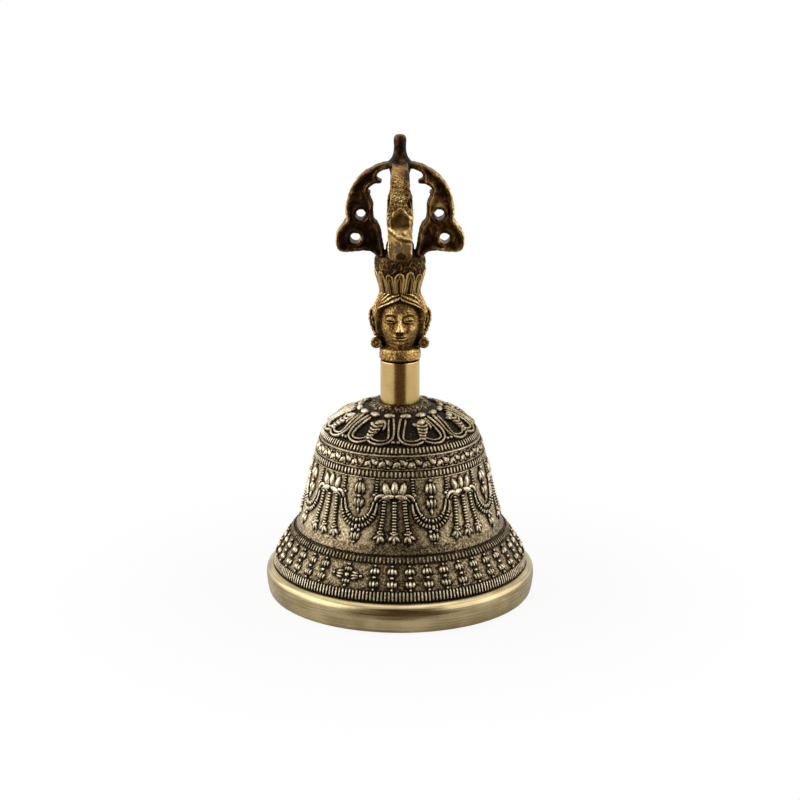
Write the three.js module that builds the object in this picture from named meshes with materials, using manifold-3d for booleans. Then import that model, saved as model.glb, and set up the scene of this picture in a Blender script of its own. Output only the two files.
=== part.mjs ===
// Hand bell: cast bell, polished tube grip, cast handle with a head, a lotus cup and a
// pierced half-vajra, and a clapper that hangs on a ring link inside the bell.
// Millimetres, +Z up, origin in the middle of the mouth. The face looks along -Y.
import * as THREE from "three";
import { mergeVertices } from "three/addons/utils/BufferGeometryUtils.js";
import Module from "manifold-3d";

const wasm = await Module();
wasm.setup();

// Clearances
const runGap = 0.3; // around a rod in its hole, and between two linked wires
const seatGap = 0.3; // between two castings that rest on each other

// Bell: lip, flared skirt, waist, shoulder and domed crown
const lipRadius = 45;
const lipHeight = 9.6;
const lipRounding = 0.9;
const lipStep = 1.6; // from the lip in to the foot of the skirt
const lipWall = 4.6;
const bellWall = 3.0;
const crownWall = 4.4;
const waistRadius = 32.2;
const waistHeight = 31;
const shoulderRadius = 26.5;
const shoulderHeight = 53.5;
const collarRadius = 10.6; // plain ring round the grip tube
const collarHeight = 1.0;
const bellHeight = 64.3; // mouth to the seat of the grip tube
const bandRelief = 0.4; // height of a raised band over the wall
const bellSegments = 36;

// Ornament on the wall, in raised ridges
const ornamentRise = 1.1;
const ornamentSunk = 0.6; // how far its foot goes into the wall
const patternTurn = -3.5; // degrees from the face to the first festoon
const festoonCount = 8;
const leafHeight = 4.6; // three leaves stand on the head of a festoon
const leafWidth = 2.8;
const headBarWidth = 1.2;
const stringWidth = 1.7; // three strings hang from it
const swagWidth = 2.4; // and a swag runs to the next one
const fenceCount = 41; // small vajras round the skirt
const fenceWidth = 2.9;
const petalCount = 8; // petals round the crown
const petalLineWidth = 1.3;
const petalLeafHeight = 4;
const petalLeafWidth = 4.6;

// Grip tube and its registers
const gripRadius = 6.5;
const gripWall = 1.1;
const gripLength = 14.5;
const registerHeight = 1.5;

// Neck and head
const neckRadius = 6.8;
const neckHeight = 4.6;
const headHeight = 17.8; // top of the neck to the foot of the lotus cup
const headHalfWidth = 7;
const headHalfDepth = 7.2;
const chinRise = 0.8; // top of the neck to the chin
const faceHeight = 15.6; // chin to hairline
const earHeight = 8.4;
const earThickness = 2.9;
const earDepth = 2.6;
const earSpread = 8.75; // centre of the head to the middle of an ear
const earringRadius = 1.68;
const earringThickness = 2.1;
const earringSpread = 7.7;
const earringRise = 1.55; // top of the neck to the middle of an earring

// Lotus cup
const cupFootRadius = 6.3;
const cupRadius = 8.2;
const cupHeight = 12.6;
const cupRimHeight = 4.6;
const cupPetals = 14;
const fluteDepth = 0.6;
const socketDepth = 1.6;
const socketRadius = 6.4;

// Half-vajra: four pierced prongs round a spike
const prongCount = 4;
const prongReach = 20.8; // axis to the tip of the lower lobe
const bowReach = 17.2; // axis to the outside of the upper bow
const vajraHeight = 38.83; // cup rim to the top of the knob
const prongWidth = 6.2;
const prongHeadWidth = 7.7;
const prongBevel = 0.5;
const bossWidth = 8.3; // six-sided boss on the outside of each bow
const bossHeight = 8.8;
const bossRise = 0.3;
const upperHoleRadius = 1.7;
const lowerHoleRadius = 1.65;
const spikeRadius = 2.6;
const knobRadius = 2.05;
const spigotRadius = 2.6;
const spigotLength = 4;

// Tie rod, washer and nut
const rodRadius = 2;
const rodReach = 14; // how far the rod goes up into the handle
const washerRadius = 5.5;
const washerThickness = 1;
const nutAcrossFlats = 7;
const nutHeight = 3.2;
const rodTail = 1.6; // rod below the nut, down to its eye

// Links of the clapper
const eyeRadius = 2.9; // middle of the wire of an eye
const eyeWire = 1;
const ringRadius = 4;
const ringWire = 0.9;

// Clapper
const clapperLength = 31; // middle of its eye to the middle of the striker
const clapperRodRadius = 1.2;
const strikerRadius = 6.3;
const strikerHeight = 13.5;
const rivetLength = 1.2; // rod left over below the striker, peened

// Heights along the axis, each on top of the one before
const neckBase = bellHeight + gripLength;
const neckTop = neckBase + neckHeight;
const cupBase = neckTop + headHeight;
const cupTop = cupBase + cupHeight;
const crownUnderside = bellHeight - crownWall;
const nutTop = crownUnderside - washerThickness;
const rodEyeHeight = nutTop - nutHeight - rodTail - eyeRadius;
const linkOffset = eyeWire + ringWire + runGap; // between the middles of two linked wires
const rodEyeBottom = rodEyeHeight - eyeRadius;
const ringHeight = rodEyeBottom + linkOffset - ringRadius;
const ringBottom = ringHeight - ringRadius;
const clapperEyeHeight = ringBottom + linkOffset - eyeRadius;
const strikerMiddle = clapperEyeHeight - clapperLength;

const degrees = Math.PI / 180;
const widen = (ornamentRise + ornamentSunk) / ornamentRise; // from a ridge's width at the wall to its foot

const castBrass = finish(0x8a7551, 0.46, 0.85);
const polishedBrass = finish(0xb8965a, 0.22, 0.95);
const castBronze = finish(0x7d6238, 0.5, 0.8);
const darkBronze = finish(0x5c4526, 0.55, 0.75);
const steel = finish(0x8d8f92, 0.35, 0.95);
const iron = finish(0x4b4a49, 0.6, 0.8);

function finish(color, roughness, metalness) {
  return new THREE.MeshStandardMaterial({ color, roughness, metalness });
}

function toSolid(geometry) {
  const bare = new THREE.BufferGeometry();
  const flat = geometry.index ? geometry.toNonIndexed() : geometry;
  bare.setAttribute("position", flat.getAttribute("position"));
  const merged = mergeVertices(bare, 1e-3);
  return new wasm.Manifold(
    new wasm.Mesh({
      numProp: 3,
      vertProperties: merged.attributes.position.array,
      triVerts: new Uint32Array(merged.index.array),
    }),
  );
}

function toGeometry(solid) {
  const mesh = solid.getMesh();
  const geometry = new THREE.BufferGeometry();
  geometry.setAttribute("position", new THREE.BufferAttribute(mesh.vertProperties, 3));
  geometry.setIndex(new THREE.BufferAttribute(mesh.triVerts, 1));
  const faceted = geometry.toNonIndexed();
  faceted.computeVertexNormals();
  return faceted;
}

function joined(solids) {
  return solids.reduce((whole, piece) => whole.add(piece));
}

// A profile of [radius, height] turned round the Z axis. Angle 0 looks along -Y.
function revolved(profile, segments) {
  const points = profile.map(([r, z]) => new THREE.Vector2(r, z));
  return new THREE.LatheGeometry(points, segments).rotateX(Math.PI / 2);
}

// Moves every vertex of a turned shape to the radius that place(angle, height, radius) gives.
function sculpted(geometry, place) {
  const position = geometry.getAttribute("position");
  for (let i = 0; i < position.count; i++) {
    const [x, y, z] = [position.getX(i), position.getY(i), position.getZ(i)];
    const radius = Math.hypot(x, y);
    if (radius < 1e-6) continue;
    const moved = place(Math.atan2(x, -y), z, radius);
    position.setXYZ(i, moved.x, moved.y, moved.z ?? z);
  }
  return geometry;
}

function atAngle(angle, radius) {
  return { x: radius * Math.sin(angle), y: -radius * Math.cos(angle) };
}

function bump(distance, width) {
  return Math.exp(-((distance / width) ** 2));
}

function smoothStep(low, high, value) {
  return THREE.MathUtils.smoothstep(value, low, high);
}

// Outer wall of the bell from the skirt's foot to the collar, as a curve of [radius, height].
// Each shape gives shares of the height climbed and of the width still to lose.
function wallCurve() {
  const flare = [[0, 1], [0.16, 0.85], [0.345, 0.65], [0.5, 0.41], [0.64, 0.235], [0.82, 0.1]];
  const waist = [[0, 1], [0.5, 0.57]];
  const dome = [[0, 1], [0.24, 0.905], [0.46, 0.765], [0.66, 0.61], [0.83, 0.38], [1, 0]];
  const footRadius = lipRadius - lipStep;
  const domeTop = bellHeight - collarHeight;
  const span = (shape, r0, r1, z0, z1) =>
    shape.map(([up, out]) => new THREE.Vector2(r1 + (r0 - r1) * out, z0 + (z1 - z0) * up));
  return new THREE.SplineCurve([
    ...span(flare, footRadius, waistRadius, lipHeight + 0.8, waistHeight),
    ...span(waist, waistRadius, shoulderRadius, waistHeight, shoulderHeight),
    ...span(dome, shoulderRadius, collarRadius, shoulderHeight, domeTop),
  ]);
}

// Raised bands round the wall, as shares of the wall's height: [middle, half width]
const bands = [[0.03, 0.024], [0.205, 0.022], [0.702, 0.024], [0.84, 0.02]];

function bandedWall(curve) {
  const outline = [];
  const foot = curve.getPoint(0).y;
  const rise = curve.getPoint(1).y - foot;
  const steps = 12;
  const heights = [];
  const edges = bands.flatMap(([middle, half]) => [-1, 0, 1].map((k) => middle + k * half));
  for (let i = 0; i <= steps; i++) {
    const point = curve.getPoint(i / steps);
    const share = (point.y - foot) / rise;
    const nearBand = bands.some(([middle, half]) => Math.abs(share - middle) < half * 1.3);
    if (!nearBand) heights.push(share);
  }
  const samples = curve.getPoints(400);
  for (const share of [...heights, ...edges].sort((a, b) => a - b)) {
    const height = foot + rise * THREE.MathUtils.clamp(share, 0, 1);
    const at = samples.findIndex((p) => p.y >= height - 1e-6);
    const base = samples[Math.max(0, at)];
    const raised = bands.some(([middle, half]) => Math.abs(share - middle) < half * 0.5);
    outline.push([base.x + (raised ? bandRelief : 0), height]);
  }
  return outline;
}

// Inner wall: the outer curve moved in along its normals by a wall that thins upwards.
function innerWall(curve) {
  const inner = [];
  const steps = 6;
  for (let i = 0; i < steps; i++) {
    const share = i / steps;
    const point = curve.getPoint(share);
    const along = curve.getTangent(share);
    const wall = THREE.MathUtils.lerp(lipWall, bellWall, smoothStep(0, 0.35, share));
    const place = [point.x - wall * along.y, point.y + wall * along.x];
    if (place[1] < crownUnderside - 0.2) inner.push(place);
  }
  return inner;
}

function bellShell() {
  const curve = wallCurve();
  const mouthRadius = lipRadius - lipWall;
  const registerRadius = gripRadius - gripWall - runGap;
  const boreRadius = rodRadius + runGap;
  const shell = toSolid(revolved([
    [mouthRadius, 0],
    [lipRadius - lipRounding - 0.3, 0],
    [lipRadius - 0.4, lipHeight * 0.2],
    [lipRadius, lipHeight * 0.56],
    [lipRadius - 0.7, lipHeight * 0.97],
    [lipRadius - lipStep - 0.3, lipHeight + 0.2],
    ...bandedWall(curve),
    [collarRadius, bellHeight],
    [registerRadius, bellHeight],
    [registerRadius, bellHeight + registerHeight],
    [boreRadius, bellHeight + registerHeight],
    [boreRadius, crownUnderside],
    [washerRadius * 1.5, crownUnderside],
    ...innerWall(curve).reverse(),
    [mouthRadius - 0.2, lipHeight * 0.6],
    [mouthRadius, 0],
  ], bellSegments));
  const wall = curve.getPoints(240);
  const ornament = [...festoons(wall), ...fence(wall), ...crownPetals(wall)];
  return toGeometry(wasm.Manifold.union([shell, ...ornament]));
}

// Place on the wall: angle round the axis, height on it, and how far it stands out from it.
function onWall(wall, angle, height, rise) {
  const at = Math.max(1, wall.findIndex((p) => p.y >= height));
  const [low, high] = [wall[at - 1], wall[at]];
  const share = (height - low.y) / (high.y - low.y);
  const along = high.clone().sub(low).normalize();
  const radius = THREE.MathUtils.lerp(low.x, high.x, share) + rise * along.y;
  return { ...atAngle(angle, radius), z: height - rise * along.x, radius };
}

// A ridge with a sharp back. Each point has its angle, height and half width, and the ridge runs
// out to nothing at its first and last point.

function ridge(wall, points) {
  const corners = [];
  const faces = [];
  const corner = (angle, height, up) => corners.push(onWall(wall, angle, height, up)) - 1;
  const rows = points.map(([angle, height, half], i) => {
    if (!half) return [corner(angle, height, -ornamentSunk)];
    const radius = onWall(wall, angle, height, 0).radius;
    const [before, after] = [points[i - 1], points[i + 1]];
    const way = new THREE.Vector2((after[0] - before[0]) * radius, after[1] - before[1]).normalize();
    const reach = half * widen;
    return [
      corner(angle - (way.y * reach) / radius, height + way.x * reach, -ornamentSunk),
      corner(angle, height, ornamentRise),
      corner(angle + (way.y * reach) / radius, height - way.x * reach, -ornamentSunk),
    ];
  });
  const first = rows[1];
  const last = rows[rows.length - 2];
  for (let k = 0; k < 3; k++) {
    const next = (k + 1) % 3;
    faces.push(rows[0][0], first[next], first[k]);
    faces.push(rows[rows.length - 1][0], last[k], last[next]);
    for (let i = 1; i < rows.length - 2; i++) {
      faces.push(rows[i][k], rows[i + 1][next], rows[i + 1][k]);
      faces.push(rows[i][k], rows[i][next], rows[i + 1][next]);
    }
  }
  const geometry = new THREE.BufferGeometry();
  const numbers = corners.flatMap((p) => [p.x, p.y, p.z]);
  geometry.setAttribute("position", new THREE.Float32BufferAttribute(numbers, 3));
  geometry.setIndex(faces);
  return toSolid(geometry);
}

// One leaf or bud: a ridge with a single point on its back.
function leaf(wall, angle, height, width, tall, lean = 0) {
  const reach = (tall / 2) * widen;
  const shift = (lean * reach) / onWall(wall, angle, height, 0).radius;
  return ridge(wall, [
    [angle - shift, height - reach, 0],
    [angle, height, width / 2],
    [angle + shift, height + reach, 0],
  ]);
}

function festoons(wall) {
  const top = shoulderHeight - 7.8;
  const foot = waistHeight - 4.2;
  const up = (share) => THREE.MathUtils.lerp(foot, top, share);
  const line = stringWidth / 2;
  const bar = headBarWidth / 2;
  const swag = swagWidth / 2;
  const pieces = [];
  for (let i = 0; i < festoonCount; i++) {
    const turn = (share) => (patternTurn + ((i + share) * 360) / festoonCount) * degrees;
    const run = (half, ...places) => ridge(wall, places.map(([share, height], k) => [
      turn(share), up(height), k && k < places.length - 1 ? half : 0]));
    pieces.push(
      run(bar, [-0.28, 0.58], [-0.18, 0.76], [0, 0.66], [0.18, 0.76], [0.28, 0.58]),
      run(swag, [0.25, 0.66], [0.31, 0.34], [0.44, 0.2], [0.56, 0.2], [0.69, 0.34], [0.75, 0.66]),
      leaf(wall, turn(0.5), up(0.8), leafWidth, leafHeight),
      leaf(wall, turn(0.5), up(0.07), leafWidth * 1.2, leafHeight * 0.85),
    );
    for (const side of [-1, 0, 1]) {
      const strung = [[0.135, 0.72], [0.14, 0.6], [0.17, 0.2], [0.178, 0.08]];
      pieces.push(
        leaf(wall, turn(side * 0.125), top - leafHeight / 2, leafWidth * 0.85, leafHeight, side * 0.25),
        run(line, ...strung.map(([share, height]) => [side * share, height])),
      );
    }
  }
  return pieces;
}

function fence(wall) {
  const middle = THREE.MathUtils.lerp(lipHeight, waistHeight, 0.33);
  const tall = (waistHeight - lipHeight) * 0.27;
  return Array.from({ length: fenceCount }, (_, i) =>
    leaf(wall, ((i + 0.5) / fenceCount) * 2 * Math.PI, middle, fenceWidth, tall));
}

function crownPetals(wall) {
  const foot = shoulderHeight + 2.8;
  const top = bellHeight - collarHeight - 1.5;
  const up = (share) => THREE.MathUtils.lerp(foot, top, share);
  const line = petalLineWidth / 2;
  const edge = [[-0.4, 1], [-0.45, 0.5], [-0.38, 0.12], [-0.2, 0], [0.2, 0], [0.38, 0.12], [0.45, 0.5],
    [0.4, 1]];
  const pieces = [];
  for (let i = 0; i < petalCount; i++) {
    const turn = (share) => (patternTurn + ((i + 0.5 + share) * 360) / petalCount) * degrees;
    const points = edge.map(([share, height], k) => [
      turn(share), up(height), k && k < edge.length - 1 ? line : 0]);
    pieces.push(ridge(wall, points), leaf(wall, turn(0), up(0.55), petalLeafWidth, petalLeafHeight));
  }
  return pieces;
}

function gripSleeve() {
  const inner = gripRadius - gripWall;
  const edge = 0.25;
  return revolved([
    [inner, bellHeight],
    [gripRadius - edge, bellHeight],
    [gripRadius, bellHeight + edge],
    [gripRadius, neckBase - edge],
    [gripRadius - edge, neckBase],
    [inner, neckBase],
    [inner, bellHeight],
  ], 28);
}

function neckCollar() {
  const registerRadius = gripRadius - gripWall - runGap;
  return toSolid(revolved([
    [0, neckBase - registerHeight],
    [registerRadius, neckBase - registerHeight],
    [registerRadius, neckBase],
    [neckRadius * 0.93, neckBase],
    [neckRadius, neckBase + neckHeight * 0.1],
    [neckRadius, neckBase + neckHeight * 0.85],
    [neckRadius * 0.8, neckTop],
    [0, neckTop],
  ], 20));
}

// Half width of the hair as shares of the head's, at shares of its height
const hairHull = [[-0.1, 0.88], [0, 0.95], [0.1, 1.06], [0.45, 1.16], [0.68, 1.25], [0.8, 1.15], [0.9, 1.03],
  [1.04, 0.92]];

function hullWidth(share) {
  const at = Math.min(Math.max(1, hairHull.findIndex(([s]) => s >= share)), hairHull.length - 1);
  const [[s0, w0], [s1, w1]] = [hairHull[at - 1], hairHull[at]];
  return headHalfWidth * THREE.MathUtils.mapLinear(THREE.MathUtils.clamp(share, s0, s1), s0, s1, w0, w1);
}

// The head: a skull with calm, plain features on thirds of the face, and full hair parted in the
// middle.
function head() {
  const chin = neckTop + chinRise;
  const hairline = chin + faceHeight;
  const third = faceHeight / 3;
  const browLine = hairline - third;
  const noseBase = chin + third;
  const eyeLine = browLine - third * 0.27;
  const mouth = noseBase - third * 0.36;
  const middle = (chin + hairline) / 2 + 0.8;
  const foot = neckTop - 0.9;
  const top = cupBase + 0.6;
  const rings = 17;
  const columns = 28;
  const heights = Array.from({ length: rings + 1 }, (_, i) => THREE.MathUtils.lerp(foot, top, i / rings));
  const sides = heights.map((height) => [1, height]);
  const skull = revolved([[0, foot], ...sides, [0, top]], columns);
  const eyeTurn = 24 * degrees;
  const feature = (angle, height) => {
    const side = Math.abs(angle);
    const upNose = smoothStep(noseBase, browLine, height);
    const nose = THREE.MathUtils.lerp(1.6, 0.4, upNose) * smoothStep(noseBase - 0.5, noseBase + 0.35, height)
      * (1 - smoothStep(browLine, browLine + 1.2, height));
    return nose * bump(angle, THREE.MathUtils.lerp(10, 5.5, upNose) * degrees)
      + 0.35 * bump(side - eyeTurn, 16 * degrees) * bump(height - browLine - 0.4, 0.9)
      - 0.5 * bump(side - eyeTurn * 0.9, 11 * degrees) * bump(height - eyeLine - 0.2, 1.3)
      + 0.4 * bump(side - eyeTurn, 8 * degrees) * bump(height - eyeLine, 0.8)
      + 0.5 * bump(angle, 13 * degrees) * bump(height - mouth - 0.45, 0.45)
      + 0.55 * bump(angle, 11 * degrees) * bump(height - mouth + 0.55, 0.5)
      + 0.5 * bump(angle, 15 * degrees) * bump(height - chin - 1.3, 1.2)
      + 0.4 * bump(side - 38 * degrees, 16 * degrees) * bump(height - noseBase - 0.8, 2.2);
  };
  // share of hair: over the forehead it goes by height, beside the face by the angle from its middle
  const hairShare = (side, height) => {
    const edge = hairline - faceHeight * (0.14 * smoothStep(4, 48, side) + 0.1 * smoothStep(44, 70, side));
    return 1 - (1 - smoothStep(edge - 1, edge + 1.4, height)) * (1 - smoothStep(56, 78, side));
  };
  const oval = (wide, deep, angle) =>
    (wide * deep) / Math.hypot(deep * Math.sin(angle), wide * Math.cos(angle));
  return toSolid(sculpted(skull, (angle, height) => {
    const seen = angle - 0.45 * Math.sin(angle); // columns are finer toward the face
    const side = Math.abs(seen) / degrees;
    const above = (height - middle) / (height > middle ? faceHeight * 0.83 : middle - chin + 2.6);
    const round = Math.sqrt(Math.max(0.55, 1 - Math.abs(above) ** 2.3));
    const jaw = 1 - 0.13 * smoothStep(middle, chin, height) * bump(Math.abs(seen), 1.35);
    const face = oval(headHalfWidth * round * jaw, headHalfDepth * round, seen)
      + (Math.cos(seen) > 0 ? feature(seen, height) : 0);
    const hull = hullWidth((height - neckTop) / headHeight);
    const hair = oval(hull, hull * 1.01, seen) - 0.5 * bump(side, 4);
    return atAngle(seen, THREE.MathUtils.lerp(face, hair, hairShare(side, height)));
  }));
}

function earWithRing(side) {
  const earMiddle = neckTop + headHeight * 0.48;
  const ear = new THREE.SphereGeometry(1, 9, 7);
  ear.scale(earThickness / 2, earDepth / 2, earHeight / 2);
  ear.translate(side * earSpread, -0.2, earMiddle);
  const lobeHeight = earMiddle - earHeight * 0.4 - neckTop - earringRise;
  const lobe = new THREE.CylinderGeometry(earThickness * 0.5, earThickness * 0.45, lobeHeight, 8);
  lobe.rotateX(Math.PI / 2);
  lobe.translate(side * earringSpread, -earDepth * 0.3, neckTop + earringRise + lobeHeight / 2);
  const earring = new THREE.CylinderGeometry(earringRadius, earringRadius * 0.8, earringThickness, 14);
  earring.translate(side * earringSpread, -earDepth * 0.6, neckTop + earringRise);
  return joined([ear, lobe, earring].map(toSolid));
}

function lotusCup() {
  const rimFoot = cupTop - cupRimHeight;
  const flutedSide = [[0, 0.1], [0.45, 0.35], [0.8, 0.8], [1, 1]]; // shares of height and of width
  const cup = toSolid(sculpted(revolved([
    [0, cupBase - 0.4],
    [cupFootRadius - 0.3, cupBase - 0.4],
    ...flutedSide.map(([up, out]) => [
      THREE.MathUtils.lerp(cupFootRadius, cupRadius, out),
      THREE.MathUtils.lerp(cupBase + 0.4, rimFoot, up),
    ]),
    [cupRadius, rimFoot + cupRimHeight * 0.55],
    [cupRadius - 0.35, cupTop],
    [0, cupTop],
  ], 2 * cupPetals), (angle, height, radius) => {
    const onPetals = smoothStep(cupBase - 0.4, cupBase + 1, height)
      * (1 - smoothStep(rimFoot - 0.6, rimFoot + 0.6, height));
    const groove = Math.abs(Math.cos((angle * cupPetals) / 2));
    return atAngle(angle, radius - fluteDepth * (1 - groove) * onPetals);
  }));
  const socketFloor = cupTop - socketDepth;
  const socket = toSolid(revolved([
    [0, socketFloor - spigotLength - runGap],
    [spigotRadius + runGap, socketFloor - spigotLength - runGap],
    [spigotRadius + runGap, socketFloor],
    [socketRadius + runGap, socketFloor],
    [socketRadius + runGap, cupTop + 1],
    [0, cupTop + 1],
  ], 24));
  return cup.subtract(socket);
}

function handleHead() {
  const boreFoot = neckBase - registerHeight - 1;
  const boreTop = neckBase + rodReach + 0.5;
  const boreRadius = rodRadius + runGap;
  const bore = toSolid(new THREE.CylinderGeometry(boreRadius, boreRadius, boreTop - boreFoot, 20)
    .rotateX(Math.PI / 2)
    .translate(0, 0, (boreTop + boreFoot) / 2));
  const casting = joined([neckCollar(), head(), earWithRing(-1), earWithRing(1), lotusCup()]);
  return toGeometry(casting.subtract(bore));
}

// Side view of one prong: a beast's head with two holes, and the bow that curves up to the knob.
function prongOutline(root, top) {
  const rise = top - root;
  const z = (share) => root + share * rise;
  const lobe = prongReach;
  const bow = bowReach;
  const outline = new THREE.Shape();
  outline.moveTo(4.6, z(0));
  outline.lineTo(8.2, z(0));
  outline.quadraticCurveTo(8.4, z(0.045), 10, z(0.048));
  outline.lineTo(lobe - 3.8, z(0.043));
  outline.bezierCurveTo(lobe - 0.6, z(0.04), lobe + 0.6, z(0.2), lobe - 1, z(0.275));
  outline.quadraticCurveTo(lobe - 2.2, z(0.34), bow - 0.2, z(0.37));
  outline.bezierCurveTo(bow + 0.4, z(0.48), bow + 0.1, z(0.56), bow - 1.3, z(0.68));
  outline.bezierCurveTo(bow - 3.2, z(0.8), bow - 7, z(0.93), 3.2, z(1.0));
  outline.lineTo(0.4, z(1.0));
  outline.lineTo(0.4, z(0.9));
  outline.quadraticCurveTo(4.6, z(0.9), 7.4, z(0.815));
  outline.lineTo(6.1, z(0.762)); // the barb
  outline.quadraticCurveTo(8.6, z(0.76), 10.2, z(0.66));
  outline.lineTo(9.5, z(0.6));
  outline.quadraticCurveTo(8.5, z(0.52), 8.6, z(0.4));
  outline.quadraticCurveTo(6.6, z(0.34), 6, z(0.22));
  outline.quadraticCurveTo(5.3, z(0.14), 4.6, z(0));
  return outline;
}

// Turns an outline drawn in [radius, height] into a slab of the given width, across the -Y direction.
function slab(outline, width, bevel) {
  const body = new THREE.ExtrudeGeometry(outline, {
    depth: width - 2 * bevel,
    curveSegments: 3,
    bevelEnabled: bevel > 0,
    bevelThickness: bevel,
    bevelSize: bevel,
    bevelOffset: -bevel,
    bevelSegments: 1,
  });
  body.translate(0, 0, bevel - width / 2);
  body.rotateX(Math.PI / 2);
  return toSolid(body);
}

function crossPin(radius, reach, height) {
  const pin = new THREE.CylinderGeometry(radius, radius, prongHeadWidth * 2, 14);
  pin.translate(reach, 0, height);
  return toSolid(pin);
}

function prong(root, top) {
  const rise = top - root;
  const outline = prongOutline(root, top);
  const headTop = root + rise * 0.56; // the beast's head is wider than the bow above it
  const full = slab(outline, prongHeadWidth, prongBevel);
  const slim = slab(outline, prongWidth, 0);
  const lowerBlock = new THREE.BoxGeometry(prongReach * 3, prongReach * 3, rise);
  lowerBlock.translate(0, 0, headTop - rise / 2);
  const head = full.intersect(toSolid(lowerBlock));
  const boss = new THREE.CylinderGeometry(0.5, 0.5, 1, 6);
  boss.scale(bossHeight, 2 * bossRise + prongBevel * 4, bossWidth / Math.cos(30 * degrees));
  boss.rotateZ(Math.PI / 2);
  boss.translate(bowReach - prongBevel * 2, 0, root + rise * 0.46);
  const holes = [
    crossPin(upperHoleRadius, bowReach - 4.7, root + rise * 0.43),
    crossPin(lowerHoleRadius, prongReach - 6.4, root + rise * 0.165),
  ];
  return holes.reduce((whole, hole) => whole.subtract(hole), joined([head, slim, toSolid(boss)]));
}

function halfVajra() {
  const root = cupTop + seatGap;
  const tip = root + vajraHeight - seatGap;
  const knobBase = tip - 9;
  const spike = toSolid(revolved([
    [0, cupTop - socketDepth - spigotLength + seatGap],
    [spigotRadius, cupTop - socketDepth - spigotLength + seatGap],
    [spigotRadius, cupTop - socketDepth + seatGap],
    [socketRadius, cupTop - socketDepth + seatGap],
    [socketRadius, root + 1],
    [spikeRadius + 2, root + 2.4],
    [spikeRadius, root + 8],
    [spikeRadius * 0.85, (root + knobBase) / 2],
    [spikeRadius, knobBase - 5],
    [spikeRadius + 1.9, knobBase - 0.8],
    [spikeRadius + 0.6, knobBase + 1],
    [knobRadius + 0.1, knobBase + 2.6],
    [knobRadius - 0.1, knobBase + 5],
    [knobRadius, tip - 2.2],
    [knobRadius * 0.8, tip - 0.6],
    [0, tip],
  ], 16));
  const arm = prong(root, knobBase + 0.4);
  const arms = Array.from({ length: prongCount }, (_, i) => arm.rotate([0, 0, (i * 360) / prongCount]));
  return toGeometry(joined([spike, ...arms]));
}

function wireRing(radius, wire) {
  return new THREE.TorusGeometry(radius, wire, 8, 24);
}

function tieRod() {
  const top = neckBase + rodReach;
  const bottom = rodEyeHeight + eyeRadius - eyeWire * 0.4;
  const shank = new THREE.CylinderGeometry(rodRadius, rodRadius, top - bottom, 24)
    .rotateX(Math.PI / 2)
    .translate(0, 0, (top + bottom) / 2);
  const eye = wireRing(eyeRadius, eyeWire).rotateX(Math.PI / 2).translate(0, 0, rodEyeHeight);
  return toGeometry(toSolid(shank).add(toSolid(eye)));
}

function crownWasher() {
  const hole = rodRadius + runGap;
  return revolved([
    [hole, nutTop],
    [washerRadius, nutTop],
    [washerRadius, crownUnderside],
    [hole, crownUnderside],
    [hole, nutTop],
  ], 24);
}

function crownNut() {
  const corner = nutAcrossFlats / 2 / Math.cos(30 * degrees);
  const hexagon = new THREE.Shape();
  for (let i = 0; i < 6; i++) {
    const [x, y] = [corner * Math.cos(i * 60 * degrees), corner * Math.sin(i * 60 * degrees)];
    if (i) hexagon.lineTo(x, y);
    else hexagon.moveTo(x, y);
  }
  hexagon.closePath();
  const hole = new THREE.Path();
  hole.absarc(0, 0, rodRadius + runGap, 0, 2 * Math.PI, true);
  hexagon.holes.push(hole);
  return new THREE.ExtrudeGeometry(hexagon, { depth: nutHeight, bevelEnabled: false, curveSegments: 16 })
    .translate(0, 0, nutTop - nutHeight);
}

function hangerRing() {
  return wireRing(ringRadius, ringWire).rotateY(Math.PI / 2).translate(0, 0, ringHeight);
}

function clapperRod() {
  const top = clapperEyeHeight - eyeRadius + eyeWire * 0.4;
  const bottom = strikerMiddle - strikerHeight / 2 - rivetLength;
  const shank = revolved([
    [0, bottom],
    [clapperRodRadius + 0.9, bottom + 0.1],
    [clapperRodRadius + 0.9, bottom + rivetLength - runGap],
    [clapperRodRadius, bottom + rivetLength - runGap],
    [clapperRodRadius, top],
    [0, top],
  ], 16);
  const eye = wireRing(eyeRadius, eyeWire).rotateX(Math.PI / 2).translate(0, 0, clapperEyeHeight);
  return toGeometry(toSolid(shank).add(toSolid(eye)));
}

function clapperStriker() {
  const hole = clapperRodRadius + runGap;
  const bottom = strikerMiddle - strikerHeight / 2;
  const shape = [[0, 0.5], [0.12, 0.78], [0.3, 0.97], [0.42, 1], [0.56, 0.95], [0.75, 0.7], [0.9, 0.48],
    [1, 0.42]];
  const outside = shape.map(([up, out]) => [strikerRadius * out, bottom + strikerHeight * up]);
  return revolved([[hole, bottom], ...outside, [hole, bottom + strikerHeight], [hole, bottom]], 20);
}

const bell = new THREE.Group();
const handle = new THREE.Group();
const clapper = new THREE.Group();

function addPiece(group, name, geometry, material) {
  const mesh = new THREE.Mesh(geometry, material);
  mesh.name = name;
  group.add(mesh);
}

addPiece(bell, "bell_shell", bellShell(), castBrass);
addPiece(bell, "crown_washer", crownWasher(), steel);
addPiece(bell, "crown_nut", crownNut(), steel);
addPiece(handle, "grip_sleeve", gripSleeve(), polishedBrass);
addPiece(handle, "handle_head", handleHead(), castBronze);
addPiece(handle, "half_vajra", halfVajra(), darkBronze);
addPiece(handle, "tie_rod", tieRod(), steel);
addPiece(clapper, "hanger_ring", hangerRing(), steel);
addPiece(clapper, "clapper_rod", clapperRod(), steel);
addPiece(clapper, "clapper_striker", clapperStriker(), iron);

const part = new THREE.Group();
part.add(bell, handle, clapper);

export default part;
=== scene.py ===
import math
import bmesh
import bpy
import numpy as np
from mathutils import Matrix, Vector, kdtree


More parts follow.
